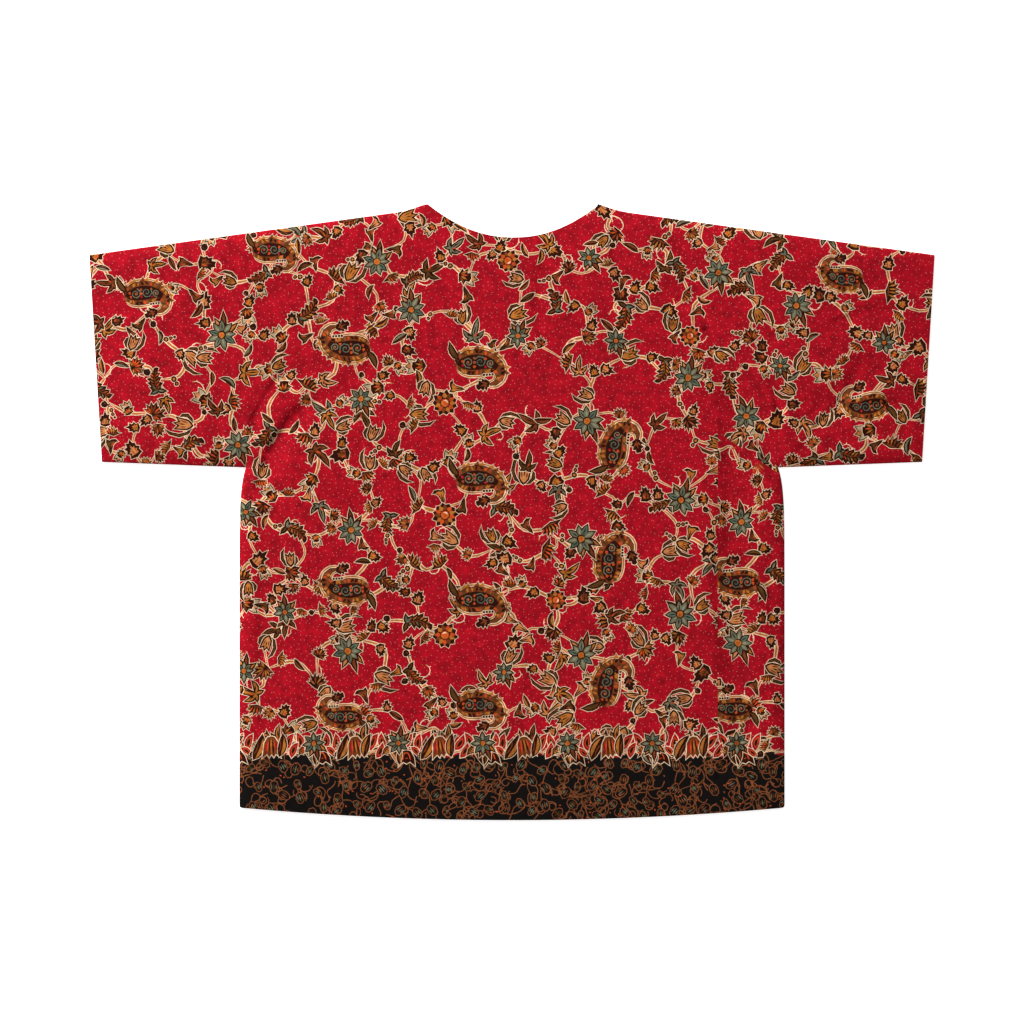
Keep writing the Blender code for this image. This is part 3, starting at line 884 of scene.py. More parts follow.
PAISLEY_BLOTS = ((-6.6, 6.6), (-6.4, -1.6), (4.8, 6.0), (4.6, -1.8), (-18.6, 3.6), (-18.2, -0.6), (-6.5, 2.4))
TOOTH_HEIGHT = 4.8
TOOTH_HALF = 2.9
SPIRAL_STEPS = 7


def paisley_band(shrink, steps):
    rows = [(x, y, half - shrink) for x, y, half in PAISLEY_ROWS if half - shrink > 0.5]
    line = smooth(rows, steps)
    return ribbon(line[:, :2], 2.0 * line[:, 2])


def spiral(radius, turns, start):
    """The path of a curl that winds outward."""
    share = np.linspace(0.12, 1.0, max(4, round(SPIRAL_STEPS * turns)))
    turn = start + 2.0 * math.pi * turns * share
    return np.stack((radius * share * np.cos(turn), radius * share * np.sin(turn)), 1)


def paisley(rng, size):
    """Bands round a dark core with teal curls, gold teeth on the back, and a curled tail with a leaf."""
    line = smooth(PAISLEY_ROWS, 2)
    along, across = directions(line[:, :2])
    stem = moved(blade(17.0, 4.0, 1.6), -23.0, 6.0, 118.0)
    leaf = moved(shaken(leaf_outline(15.0, 12.0, 4), rng, 0.4), 9.0, -17.0, 205.0)
    layers = [("cream", grown(stem, DARK_LINE + EDGE)), ("cream", grown(leaf, EDGE))]
    teeth = []
    for k in (2, 3, 5, 6, 8, 9, 11, 12, 13, 15, 16):
        foot = line[k, :2] + line[k, 2] * across[k]
        side = TOOTH_HALF * along[k] / math.hypot(*along[k])
        lean = TOOTH_HEIGHT * (across[k] + 0.35 * along[k] / math.hypot(*along[k]))
        teeth.append(np.array((foot - side, foot + side, foot + lean + rng.uniform(-0.3, 0.3))))
    layers += [("cream", grown(tooth, EDGE)) for tooth in teeth]
    layers += [(ink, paisley_band(shrink, 2)) for ink, shrink in PAISLEY_BANDS[:3]]
    layers += [(("ochre", "brown", "ochre")[k % 3], tooth) for k, tooth in enumerate(teeth)]
    layers += [(ink, paisley_band(shrink, 1)) for ink, shrink in PAISLEY_BANDS[3:]]
    for k in range(2, 19):
        half = line[k, 2]
        for side in (-1.0, 1.0):
            if half > 3.2:
                spot = line[k, :2] + side * (half - 2.3) * across[k]
                turn = math.degrees(math.atan2(along[k, 1], along[k, 0])) + rng.uniform(30.0, 150.0)
                mark = sliver((-2.9, rng.uniform(-0.7, 0.7)), (2.9, 0.0), rng.uniform(2.2, 3.6))
                layers.append((PAISLEY_MARKS[(3 * k + (side > 0)) % 7], moved(mark, *spot, turn)))
    for k, (x, y, radius) in enumerate(PAISLEY_CURLS):
        winding = moved(spiral(radius, 1.9, rng.uniform(0.0, 6.0)), x, y)
        layers.append((("grey_teal", "teal")[k % 2], ribbon(winding, np.linspace(0.7, 1.2, len(winding)))))
        layers.append((("orange", "deep_teal")[k % 2], moved(around(0.2 * radius, 5), x, y)))
    for x, y in PAISLEY_BLOTS:
        blot = shaken(around(1.6, 5), rng, 0.5)
        layers.append((rng.choice(("orange", "rust", "orange", "crimson")), moved(blot, x, y)))
    for k in range(4):
        x, y = mix(11.5, 3.0, k / 3.0), mix(-9.5, -10.0, k / 3.0)
        layers += [("cream", moved(around(2.0, 6), x, y)), ("dark", moved(around(1.5, 5), x, y))]
    layers += [("dark", grown(stem, DARK_LINE)), ("olive", stem), ("dark", leaf)]
    layers.append(("brown", moved(sliver((2.0, 0.0), (11.0, 0.0), 2.6), 9.0, -17.0, 205.0)))
    for turn in (-30.0, 30.0):
        layers.append(("rust", moved(sliver((2.0, 0.0), (7.0, 0.0), 1.5), 7.0, -18.0, 205.0 + turn)))
    scale = size / PAISLEY_SIZE
    return [(ink, scale * outline) for ink, outline in layers], (0.0, -3.0 * scale)


# How often each leaf of the filling comes, and from what size to what. The first table is for the places
# where vines meet, the second for the stretches between.
CLUSTERS = (
    (fan_leaf, 0.26, 20.0, 26.0), (lobed_leaf, 0.18, 20.0, 26.0), (toothed_leaf, 0.16, 20.0, 25.0),
    (tulip, 0.13, 18.0, 22.0), (plume, 0.14, 24.0, 31.0), (half_open, 0.16, 21.0, 26.0),
)
FILLING = (
    (toothed_leaf, 0.20, 14.0, 19.0), (fan_leaf, 0.15, 15.0, 19.0), (blade_leaf, 0.15, 15.0, 20.0),
    (pennant, 0.13, 14.0, 18.0), (lobed_leaf, 0.07, 16.0, 20.0), (tulip, 0.11, 14.0, 17.0),
    (half_open, 0.07, 15.0, 18.0), (beads, 0.07, 12.0, 15.0), (berry, 0.05, 8.0, 10.5),
)


class Print:
    """Dyed outlines in the cloth plane, each over the ones before it."""

    def __init__(self, seed):
        self.rng = random.Random(seed)
        self.outlines = []
        self.taken = []

    def add(self, ink, outline):
        self.outlines.append((INKS.index(ink), outline))

    def stamp(self, motif, x, y, turn, size):
        layers, middle = motif(self.rng, size)
        mirror = self.rng.choice((1.0, -1.0)) if motif is not paisley else 1.0
        for ink, outline in layers:
            self.add(ink, moved(outline - middle, x, y, turn, 1.0, mirror))

    def room(self, x, y, radius, closeness):
        return all(math.hypot(x - a, y - b) > closeness * (radius + r) for a, b, r in self.taken)

    def vines(self, paths):
        pieces = []
        for path in paths:
            place = np.arange(len(path))
            across = directions(path)[1]
            across *= 1.0 + VINE_SWELL * np.sin(0.5 * place + self.rng.uniform(0.0, 6.0))[:, None]
            across *= np.minimum(1.0, 0.3 + 0.25 * np.minimum(place, place[::-1]))[:, None]
            for k in range(0, len(path) - 1, VINE_PIECE):
                pieces.append((path[k:k + VINE_PIECE + 1], across[k:k + VINE_PIECE + 1]))
        for ink, width in VINE_LINES:
            for path, across in pieces:
                side = 0.5 * width * across
                self.add(ink, np.concatenate((path + side, (path - side)[::-1])))

    def tendril(self, x, y, turn):
        """A thin cream line that curls, with short spikes."""
        bend = self.rng.choice((-1.0, 1.0)) * self.rng.uniform(0.2, 0.5)
        path = [(x, y)]
        for k in range(self.rng.randint(4, 7)):
            turn += bend * (0.4 + 0.3 * k)
            x, y = x + TENDRIL_STEP * math.cos(turn), y + TENDRIL_STEP * math.sin(turn)
            path.append((x, y))
            if k % 2:
                spike = (x + 1.8 * math.sin(turn), y - 1.8 * math.cos(turn))
                self.add("cream", sliver((x, y), spike, 0.9))
        self.add("cream", ribbon(path, np.linspace(1.1, 0.6, len(path))))
        if self.rng.random() < 0.5:
            self.add("ochre", moved(around(1.0, 5), x, y))

    def leaf(self, table, x, y, turn, closeness, reach):
        """A leaf from a table with its stalk at a place, where there is room for it."""
        row = self.rng.choices(table, [row[1] for row in table])[0]
        size = LEAF_SHARE * self.rng.uniform(row[2], row[3])
        x += reach * size * math.cos(math.radians(turn))
        y += reach * size * math.sin(math.radians(turn))
        if in_field(x, y) and self.room(x, y, LEAF_RADIUS * size, closeness):
            self.taken.append((x, y, LEAF_RADIUS * size))
            self.stamp(row[0], x, y, turn, size)


def in_field(x, y):
    """Where the field of the print is wanted: the body, and the sleeves with what is folded under."""
    in_body = abs(x) < BODY_HALF + PRINT_MARGIN and FIELD_BOTTOM < y < NECK_POINT_Y + PRINT_MARGIN
    beside_body = ARMHOLE_TOP_X - PRINT_MARGIN < abs(x) < CUFF_TOP_X + PRINT_MARGIN
    return in_body or (beside_body and SLEEVE_PRINT[0] < y < SLEEVE_PRINT[1])


def bare_places(rng, mains):
    """Middles of the patches of bare ground: well apart, and clear of the main motifs."""
    spots = np.array([(x, y) for x, y, _ in mains])
    reach = np.array([r for _, _, r in mains]) + PATCH_CLEARANCE
    places = []
    for _ in range(PATCH_TRIES):
        x, y = rng.uniform(-PATCH_FIELD[0], PATCH_FIELD[0]), rng.uniform(*PATCH_FIELD[1:])
        if not in_field(x, y) or np.any(np.hypot(spots[:, 0] - x, spots[:, 1] - y) < reach):
            continue
        if places:
            near = np.array(places)
            if np.min(np.hypot(near[:, 0] - x, near[:, 1] - y)) < PATCH_GAP:
                continue
        places.append((x, y))
    return places


def walls_between(places):
    """Lines that part each place from its neighbours, as pairs of points."""
    made = delaunay_2d_cdt([Vector(place) for place in places], [], [], 0, PLACE_MERGE, True)
    corners = np.array([v[:] for v in made[0]])
    middles = {}
    beside = {}
    for k, (i, j, l) in enumerate(made[2]):
        a, b, c = corners[i], corners[j], corners[l]
        twice = 2.0 * (a[0] * (b[1] - c[1]) + b[0] * (c[1] - a[1]) + c[0] * (a[1] - b[1]))
        if abs(twice) < LEAST_TWICE_AREA:
            continue
        squares = np.array((a @ a, b @ b, c @ c))
        x = squares @ np.array((b[1] - c[1], c[1] - a[1], a[1] - b[1])) / twice
        y = squares @ np.array((c[0] - b[0], a[0] - c[0], b[0] - a[0])) / twice
        middles[k] = (x, y)
        for edge in ((i, j), (j, l), (l, i)):
            beside.setdefault(tuple(sorted(edge)), []).append(k)
    pairs = [cells for cells in beside.values() if len(cells) == 2 and all(c in middles for c in cells)]
    return [(middles[a], middles[b]) for a, b in pairs]


def vines_along(walls):
    """Vines as rows of corners: each runs on through a corner into the wall that it turns to least."""
    ends = {}
    for k, (a, b) in enumerate(walls):
        ends.setdefault(a, []).append((k, b))
        ends.setdefault(b, []).append((k, a))
    onward = {}
    for corner, met in ends.items():
        ways = [np.subtract(other, corner) / math.dist(other, corner) for _, other in met]
        pairs = [(ways[i] @ ways[j], met[i][0], met[j][0]) for i in range(len(met)) for j in range(i)]
        if pairs:
            _, first, second = min(pairs)
            onward[corner, first] = second
            onward[corner, second] = first
    used = set()

    def run(k, corner):
        row = []
        while k is not None and k not in used:
            used.add(k)
            corner = walls[k][1] if corner == walls[k][0] else walls[k][0]
            row.append(corner)
            k = onward.get((corner, k))
        return row

    vines = []
    for k, (a, b) in enumerate(walls):
        if k not in used:
            ahead = run(k, a)
            vines.append(run(onward.get((a, k)), a)[::-1] + [a] + ahead)
    return vines


def swung(row, rng):
    """A smooth path through a row of corners that swings a little to the sides between them."""
    rows = [row[0]]
    for start, end in zip(row, row[1:]):
        length = math.dist(start, end)
        side = np.array((start[1] - end[1], end[0] - start[0]))
        if length > SWING_FROM:
            swing = rng.choice((-1.0, 1.0)) * rng.uniform(0.3, 1.0) * VINE_SWING
            rows.append(mix(np.array(start), np.array(end), 0.5) + swing * side)
        rows.append(end)
    return smooth(rows, VINE_STEPS)


def field(seed, mirror=1.0):
    """The field: main motifs where they are charted, and chains of leaves on vines round bare patches."""
    sheet = Print(seed)
    rng = sheet.rng
    mains = []
    for motif, rows, share in ((paisley, PAISLEYS, 0.46), (flower, FLOWERS, 0.47), (rose, ROSES, 0.5)):
        for x, y, turn, size in rows:
            size *= FLOWER_SHARE if motif is flower else 1.0
            turn = turn if mirror > 0.0 else 180.0 - turn
            mains.append((motif, mirror * x, y, turn, size, share * size))
            under_x, under_y = mirror * x + math.copysign(UNDERSIDE_SHIFT[0], x), y + UNDERSIDE_SHIFT[1]
            on_underside = shoulder_y(under_x) + UNDERSIDE_CLEARANCE < under_y < SLEEVE_PRINT[1]
            if abs(x) < UNDERSIDE_FROM and abs(under_x) < UNDERSIDE_END and on_underside:
                mains.append((motif, under_x, under_y, turn, size, share * size))
    sheet.taken = [(x, y, radius) for _, x, y, _, _, radius in mains]
    walls = []
    for start, end in walls_between(bare_places(rng, sheet.taken)):
        if SHORTEST_WALL < math.dist(start, end) < LONGEST_WALL and (in_field(*start) or in_field(*end)):
            walls.append((start, end))
    paths = [swung(row, rng) for row in vines_along(walls)]
    corners = sorted({corner for wall in walls for corner in wall})
    for _, x, y, _, _, radius in mains:
        gaps = sorted((math.hypot(cx - x, cy - y), cx, cy) for cx, cy in corners)
        for gap, cx, cy in gaps[:3:2]:
            if gap < radius + JOINING_VINE:
                bend = rng.uniform(-0.3, 0.3) * np.array((y - cy, cx - x))
                ends = np.array(((x, y), (cx, cy)))
                paths.append(smooth((ends[0], ends.mean(0) + bend, ends[1]), 3))
    sheet.vines(paths)
    for x, y in corners:
        if in_field(x, y) and rng.random() < TENDRIL_SHARE:
            sheet.tendril(x, y, rng.uniform(0.0, 2.0 * math.pi))
    for x, y in corners:
        sheet.leaf(CLUSTERS, x, y, rng.uniform(0.0, 360.0), CLUSTER_CLOSENESS, 0.0)
    for x, y in corners:
        turn = rng.uniform(0.0, 2.0 * math.pi)
        beside = (x + SIDE_LEAF_REACH * math.cos(turn), y + SIDE_LEAF_REACH * math.sin(turn))
        if rng.random() < SIDE_LEAF_SHARE:
            sheet.leaf(FILLING, *beside, math.degrees(turn), SIDE_LEAF_CLOSENESS, 0.0)
    for path in paths:
        reach = np.concatenate(((0.0,), np.cumsum(np.hypot(*np.diff(path, axis=0).T))))
        count = max(1, round(reach[-1] / LEAF_PITCH))
        for i in range(count):
            share = (i + rng.uniform(0.2, 0.8)) / count
            k = min(int(np.searchsorted(reach, share * reach[-1])), len(path) - 1)
            along = path[k] - path[k - 1]
            forward = math.degrees(math.atan2(along[1], along[0]))
            turn = forward + (-1.0) ** i * rng.uniform(20.0, 75.0)
            sheet.leaf(FILLING, *path[k], turn, LEAF_CLOSENESS, 0.3)
    for motif, x, y, turn, size, _ in mains:
        sheet.stamp(motif, x, y, turn, size)
    return sheet


def fringe_blade(rng, size):
    """A broad blade, dark on one side of its vein and ochre on the other."""
    bend = 0.08 * size
    body = blade(size, 0.36 * size, bend, 6)
    half = moved(blade(0.78 * size, 0.13 * size, bend, 5), 0.08 * size, 0.07 * size)
    vein = moved(blade(0.6 * size, 0.05 * size, bend, 3), 0.12 * size, -0.07 * size)
    return edged([("dark", body)], 0.2) + [("ochre", half), ("brown", vein)], (0.5 * size, 0.5 * bend)


def fringe_bell(rng, size):
    """A bell with a toothed mouth and red, orange and dark hatching, pointing away from its stalk."""
    layers = rimmed(size * mirrored(FRINGE_BELL, (0.0, 0.0), (0.8, 0.0)), EDGE + 0.3, "brown")
    for k, ink in enumerate(("crimson", "orange", "dark", "ochre", "dark", "orange", "crimson")):
        across = mix(-0.3, 0.3, k / 6.0) * size
        start, end = rng.uniform(0.06, 0.2) * size, rng.uniform(0.74, 0.9) * size
        layers.append((ink, sliver((start, 0.6 * across), (end, across), 2.1)))
    return layers, (0.45 * size, 0.0)


def fringe_loop(rng, size):
    """A crimson petal inside a cream line, with a finer one in it."""
    body = blade(size, 0.42 * size, 0.1 * size, 5)
    inner = moved(blade(0.56 * size, 0.2 * size, 0.05 * size, 4), 0.2 * size, 0.04 * size)
    lines = [("orange", grown(inner, 0.5)), ("dark", grown(inner, -0.3))]
    return rimmed(body, EDGE + 0.2, "crimson") + lines, (0.5 * size, 0.0)


def fringe_cup(rng, size):
    """Two pointed petals in cream lines, dark with an orange heart."""
    body = size * mirrored(FRINGE_CUP, (0.0, 0.0), (0.84, 0.0))
    heart = moved(0.5 * body, 0.14 * size, 0.0)
    lines = [("orange", heart), ("dark", 0.7 * (heart - heart.mean(0)) + heart.mean(0))]
    return rimmed(body, EDGE + 0.2) + lines, (0.45 * size, 0.0)


# The fringe over the border. A row is a place in its repeat, the motif, its turn and its size.
FRINGE = (
    (76.0, 13.0, fringe_loop, 80.0, 18.0), (31.0, 13.0, fringe_loop, 60.0, 19.0),
    (40.0, 14.0, fringe_loop, 110.0, 18.0), (66.0, 14.0, fringe_loop, 75.0, 17.0),
    (47.0, 10.0, fringe_loop, 95.0, 12.0), (7.0, 17.0, wing_leaf, 100.0, 15.0),
    (20.0, 20.0, lobed_leaf, 80.0, 14.0), (83.0, 10.0, wing_leaf, 70.0, 14.0),
    (0.0, 8.0, fringe_blade, 66.0, 28.0), (12.5, 9.0, fringe_bell, -85.0, 22.0),
    (23.0, 10.0, fringe_blade, 80.0, 24.0), (36.0, 5.0, fringe_loop, 66.0, 17.0),
    (44.0, 5.0, wing_leaf, -120.0, 13.0), (63.0, -2.0, fringe_cup, -80.0, 17.0),
    (51.0, -1.0, blade_leaf, -65.0, 17.0), (57.0, -2.0, blade_leaf, -95.0, 15.0),
    (55.0, 12.0, flower, 0.0, 22.0), (72.0, 3.0, fringe_loop, -45.0, 14.0), (79.0, 1.0, berry, 30.0, 9.0),
)


def bud(rng, size):
    """An oval bud of the border: a dull brown ring round grey-green and orange hatching on black."""
    oval = shaken(around(0.5 * size, 8) * (1.0, 0.7), rng, 0.03 * size)
    layers = [("bark", oval), ("black", grown(oval, -0.8))]
    for k in range(3):
        across = (k - 1.0) * 0.16 * size
        reach = (0.32 if k == 1 else 0.22) * size * rng.uniform(0.8, 1.1)
        ink = rng.choice(("moss", "moss", "olive", "bark"))
        layers.append((ink, sliver((-reach, across - 0.3), (reach, across + 0.3), 1.5)))
    return layers, (0.0, 0.0)


def curl(rng, x, y):
    """A line that wanders and curls, as a path."""
    turn = rng.uniform(0.0, 2.0 * math.pi)
    bend = rng.uniform(-0.6, 0.6)
    path = [(x, y)]
    for _ in range(rng.randint(6, 12)):
        bend = np.clip(bend + rng.uniform(-0.6, 0.6), -0.9, 0.9)
        turn += bend
        x, y = x + CURL_STEP * math.cos(turn), y + CURL_STEP * math.sin(turn)
        path.append((x, y))
    return path


def border(sheet):
    """The near-black border at the hem, its curling lines and buds, and the fringe of leaves over it."""
    rng = sheet.rng

    def anywhere(above_hem, below_top, beyond=0.0):
        half = BORDER_HALF + beyond
        return rng.uniform(-half, half), rng.uniform(HEM_Y + above_hem, BORDER_TOP - below_top)

    across = np.arange(-PRINT_HALF, PRINT_HALF + 1.0, BORDER_STEP)
    wobble = np.array([rng.uniform(-BORDER_WOBBLE, BORDER_WOBBLE) for _ in across])
    edge = np.stack((across, BORDER_TOP + wobble), 1)
    below_hem = ((PRINT_HALF, HEM_Y - PRINT_MARGIN), (-PRINT_HALF, HEM_Y - PRINT_MARGIN))
    sheet.add("black", np.concatenate((edge, below_hem)))
    buds = []
    for _ in range(BUD_TRIES):
        x, y = anywhere(3.0, 8.0)
        if all(math.hypot(x - a, y - b) > BUD_GAP for a, b in buds):
            buds.append((x, y))
    for x, y in CURLS_PER_BUD * buds:
        path = curl(rng, x + rng.uniform(-6.0, 6.0), y + rng.uniform(-5.0, 5.0))
        sheet.add("bark", ribbon(path, CURL_WIDTH))
    for _ in range(LONG_CURLS):
        sheet.add("bark", ribbon(curl(rng, *anywhere(0.0, 6.0, 4.0)), CURL_WIDTH))
    for x, y in buds:
        sheet.stamp(bud, x, y, rng.uniform(30.0, 150.0), rng.uniform(10.0, 14.5))
    dash = sliver((-1.3, 0.0), (1.3, 0.0), 1.5)
    for _ in range(BORDER_DOTS):
        x, y = anywhere(0.0, 5.0)
        sheet.add("orange" if x % 2.0 < 1.0 else "rust", moved(dash, x, y, 60.0 * x))
    for ink, width in BORDER_LINES:
        sheet.add(ink, ribbon(edge + (0.0, 3.0), width))
    for i in range(-4, 4):
        for dx, dy, motif, turn, size in FRINGE:
            x = FRINGE_START + FRINGE_REPEAT * i + dx
            sheet.stamp(motif, x, BORDER_TOP + dy, turn + rng.uniform(-8.0, 8.0), size)


def right_of(outline, x):
    """The part of a closed outline to the right of an x, or None."""
    kept = []
    for (ax, ay), (bx, by) in zip(outline, np.roll(outline, -1, 0)):
        if ax >= x:
            kept.append((ax, ay))
        if (ax >= x) != (bx >= x):
            kept.append((x, mix(ay, by, (x - ax) / (bx - ax))))
    return np.array(kept) if len(kept) > 2 else None


def tuck(sheet):
    """Moves the print beside the right side seam, where the cloth is tucked under at a fold."""
    strip = ((BREAK_X, BORDER_TOP), (PRINT_HALF, BORDER_TOP), BREAK_BEYOND, BREAK_END, (BREAK_X, BREAK_TOP))
    shown = [(INKS.index("crimson"), np.array(strip))]
    for ink, outline in sheet.outlines:
        there = outline + BREAK_SHIFT
        low, high = there.min(0), there.max(0)
        top = mix(BREAK_TOP, BREAK_END[1], (there[:, 0] - BREAK_X) / (BREAK_END[0] - BREAK_X))
        within = high[0] > BREAK_X + 1.0 and low[0] < PRINT_HALF + 2.0
        if within and low[1] > BORDER_TOP - 4.0 and np.all(there[:, 1] < top):
            kept = right_of(there, BREAK_X)
            if kept is not None:
                shown.append((ink, kept))
    sheet.outlines += shown


def corner_points(before, corner, after, reach):
    """A rounding of so much reach, from the way to before to the way to after."""
    start = corner + reach * (before - corner) / math.dist(before, corner)
    end = corner + reach * (after - corner) / math.dist(after, corner)
    shares = np.linspace(0.0, 1.0, 5)[:, None]
    return (1.0 - shares) ** 2 * start + 2.0 * shares * (1.0 - shares) * corner + shares**2 * end


def closed_outline(runs):
    """One closed outline through runs of points, each with the rounding of the corner at its end."""
    outline = []
    for i, (points, reach) in enumerate(runs):
        first_reach = runs[i - 1][1]
        from_start = np.hypot(*(points - points[0]).T)
        from_end = np.hypot(*(points - points[-1]).T)
        outline.append(points[(from_start > 1.5 * first_reach - TINY) & (from_end > 1.5 * reach + TINY)])
        if reach:
            after = runs[(i + 1) % len(runs)][0]
            outline.append(corner_points(points[-3], points[-1], after[2], reach))
    return np.concatenate(outline)


def trail(place, start, end, step=OUTLINE_STEP):
    """Points of a place(value) from one value to another, a step apart."""
    count = max(2, round(abs(end - start) / step))
    return np.array([place(mix(start, end, i / count)) for i in range(count + 1)], float)


def body_outline(neck_y):
    corner_y = hem_y(BODY_HALF)
    top_x = armhole_x(ARMHOLE_TOP_Y) - 0.5 * ARMHOLE_GAP
    top_y = shoulder_y(top_x)

    def neck(turn):
        x = NECK_X + NECK_HALF * math.cos(turn)
        return x, neck_y(x)

    return closed_outline([
        (trail(lambda x: (x, hem_y(x)), -BODY_HALF, BODY_HALF), HEM_CORNER),
        (trail(lambda y: (half_width(y), y), corner_y, UNDERARM_Y), 0.0),
        (trail(lambda y: (armhole_x(y) - 0.5 * ARMHOLE_GAP, y), UNDERARM_Y, top_y), 0.0),
        (trail(lambda x: (x, shoulder_y(x)), top_x, NECK_X + NECK_HALF), NECK_CORNER),
        (trail(neck, 0.0, math.pi, NECK_STEP), NECK_CORNER),
        (trail(lambda x: (x, shoulder_y(x)), NECK_X - NECK_HALF, -top_x), 0.0),
        (trail(lambda y: (ARMHOLE_GAP * 0.5 - armhole_x(y), y), top_y, UNDERARM_Y), 0.0),
        (trail(lambda y: (-half_width(y), y), UNDERARM_Y, corner_y), HEM_CORNER),
    ])


def sleeve_outline(side):
    """The outline of a sleeve's whole cut, at -X for side -1 or at +X for side 1."""

    def beside(edge, gap):
        def place(share):
            x = edge(0.5 * (UNDERARM_Y + ARMHOLE_TOP_Y)) + gap
            for _ in range(SOLVE_ROUNDS):
                w = mix(sleeve_start(x) + SEAM_CLEARANCE, sleeve_end(x) - SEAM_CLEARANCE, share)
                x = edge(sleeve_laid_y(x, w)) + gap
            return x, w

        return place

    at_armhole = beside(armhole_x, 0.5 * ARMHOLE_GAP)
    at_cuff = beside(cuff_x, 0.0)
    low_in, low_out, high_in, high_out = (
        place(share)[0] for share in (0.0, 1.0) for place in (at_armhole, at_cuff)
    )
    runs = [
        trail(lambda x: (x, sleeve_start(x) + SEAM_CLEARANCE), low_in, low_out),
        trail(at_cuff, 0.0, 1.0, CUFF_STEP),
        trail(lambda x: (x, sleeve_end(x) - SEAM_CLEARANCE), high_out, high_in),
        trail(at_armhole, 1.0, 0.0, CUFF_STEP),
    ]
    outline = closed_outline([(points, 0.0) for points in runs])
    return outline if side > 0 else outline[::-1] * (-1.0, 1.0)


def sleeve_lines(side):
    """Lines across a sleeve's cut on which its mesh bends round the folded edges."""
    lines = []
    x = np.linspace(ARMHOLE_TOP_X - BEND_LINE_REACH, CUFF_TOP_X + BEND_LINE_REACH, BEND_LINE_POINTS)
    low = underarm_y(x) + FOLDED_EDGE_RADIUS
    for i in range(FOLD_TURNS + 1):
        turn = math.pi * i / FOLD_TURNS * FOLDED_EDGE_RADIUS
        lines.append(np.stack((side * x, sleeve_fold_y(x) + turn), 1))
        if i <= FOLD_TURNS // 2:
            lines.append(np.stack((side * x, low - turn + TINY), 1))
            lines.append(np.stack((side * x, sleeve_end(x) - low + sleeve_start(x) + turn - TINY), 1))
    return lines


def overlapping(outlines, box):
    """The dyed outlines that reach into a box of lowest and highest corners."""
    low, high = box
    return [(ink, o) for ink, o in outlines if np.all(o.min(0) < high) and np.all(o.max(0) > low)]


def triangulated(count, points, edges):
    """Fills the outline that is the first so many points, keeping to the edges.

    It gives the points, the triangles and, for each point, which of the given points it stands for.
    """
    vectors = [Vector(point) for point in points.tolist()]
    made = delaunay_2d_cdt(vectors, edges, [list(range(count))], 0, MERGE, True)
    filled = np.array([len(faces) > 0 for faces in made[5]])
    return np.array([v[:] for v in made[0]]), np.array(made[2])[filled], made[3]


def with_edges(loops, lines, spots, first):
    """The points of closed loops, open lines and single spots in one list, and the edges between them."""
    points, edges = [], []
    for closed, group in ((True, loops), (False, lines)):
        for line in group:
            count = len(line)
            points.append(line)
            edges += [(first + i, first + i + 1) for i in range(count - 1)]
            if closed:
                edges.append((first + count - 1, first))
            first += count
    return np.concatenate(points + [spots]), edges


def sides_of(triangles):
    """Where each triangle's sides start and end, and whose they are."""
    starts = np.concatenate([triangles[:, k] for k in range(3)])
    ends = np.concatenate([triangles[:, (k + 1) % 3] for k in range(3)])
    return starts, ends, np.tile(np.arange(len(triangles)), 3)


def ink_edges(triangles, inks, count):
    """The edges between two inks, and the points round the edge of the cloth."""
    starts, ends, owners = sides_of(triangles)
    there, back = starts * count + ends, ends * count + starts
    order = np.argsort(back)
    other = order[np.minimum(np.searchsorted(back, there, sorter=order), len(back) - 1)]
    free = back[other] != there
    kept = ~free & (inks[owners] != inks[owners[other]]) & (starts < ends)
    return np.stack((starts[kept], ends[kept]), 1), starts[free]


def straightened(points, edges, fixed):
    """The edges without the points at which a run of them is all but straight."""
    count = len(points)
    for _ in range(STRAIGHTENINGS):
        edges = np.unique(np.sort(edges, 1), axis=0)
        both = np.concatenate((edges, edges[:, ::-1]))
        both = both[np.argsort(both[:, 0], kind="stable")]
        first = np.searchsorted(both[:, 0], np.arange(count))
        middle = np.flatnonzero((np.bincount(edges.ravel(), minlength=count) == 2) & ~fixed)
        left, right = both[first[middle], 1], both[first[middle] + 1, 1]
        chord = points[right] - points[left]
        off = points[middle] - points[left]
        away = abs(chord[:, 0] * off[:, 1] - chord[:, 1] * off[:, 0]) / lengths(chord)[:, 0]
        closing = np.isin(np.minimum(left, right) * count + np.maximum(left, right), edges @ (count, 1))
        loose = (away < STRAIGHT) & ~closing
        rank = np.full(count, count)
        rank[middle[loose]] = middle[loose] * MIXING_PRIME % count
        drop = loose & (rank[middle] < rank[left]) & (rank[middle] < rank[right])
        gone = np.zeros(count, bool)
        gone[middle[drop]] = True
        edges = np.concatenate((edges[~gone[edges].any(1)], np.stack((left[drop], right[drop]), 1)))
    return np.unique(np.sort(edges, 1), axis=0)


def numbered(used, count):
    """For each of so many points, its number among the used ones, or -1."""
    numbers = np.full(count, -1)
    numbers[used] = np.arange(len(used))
    return numbers


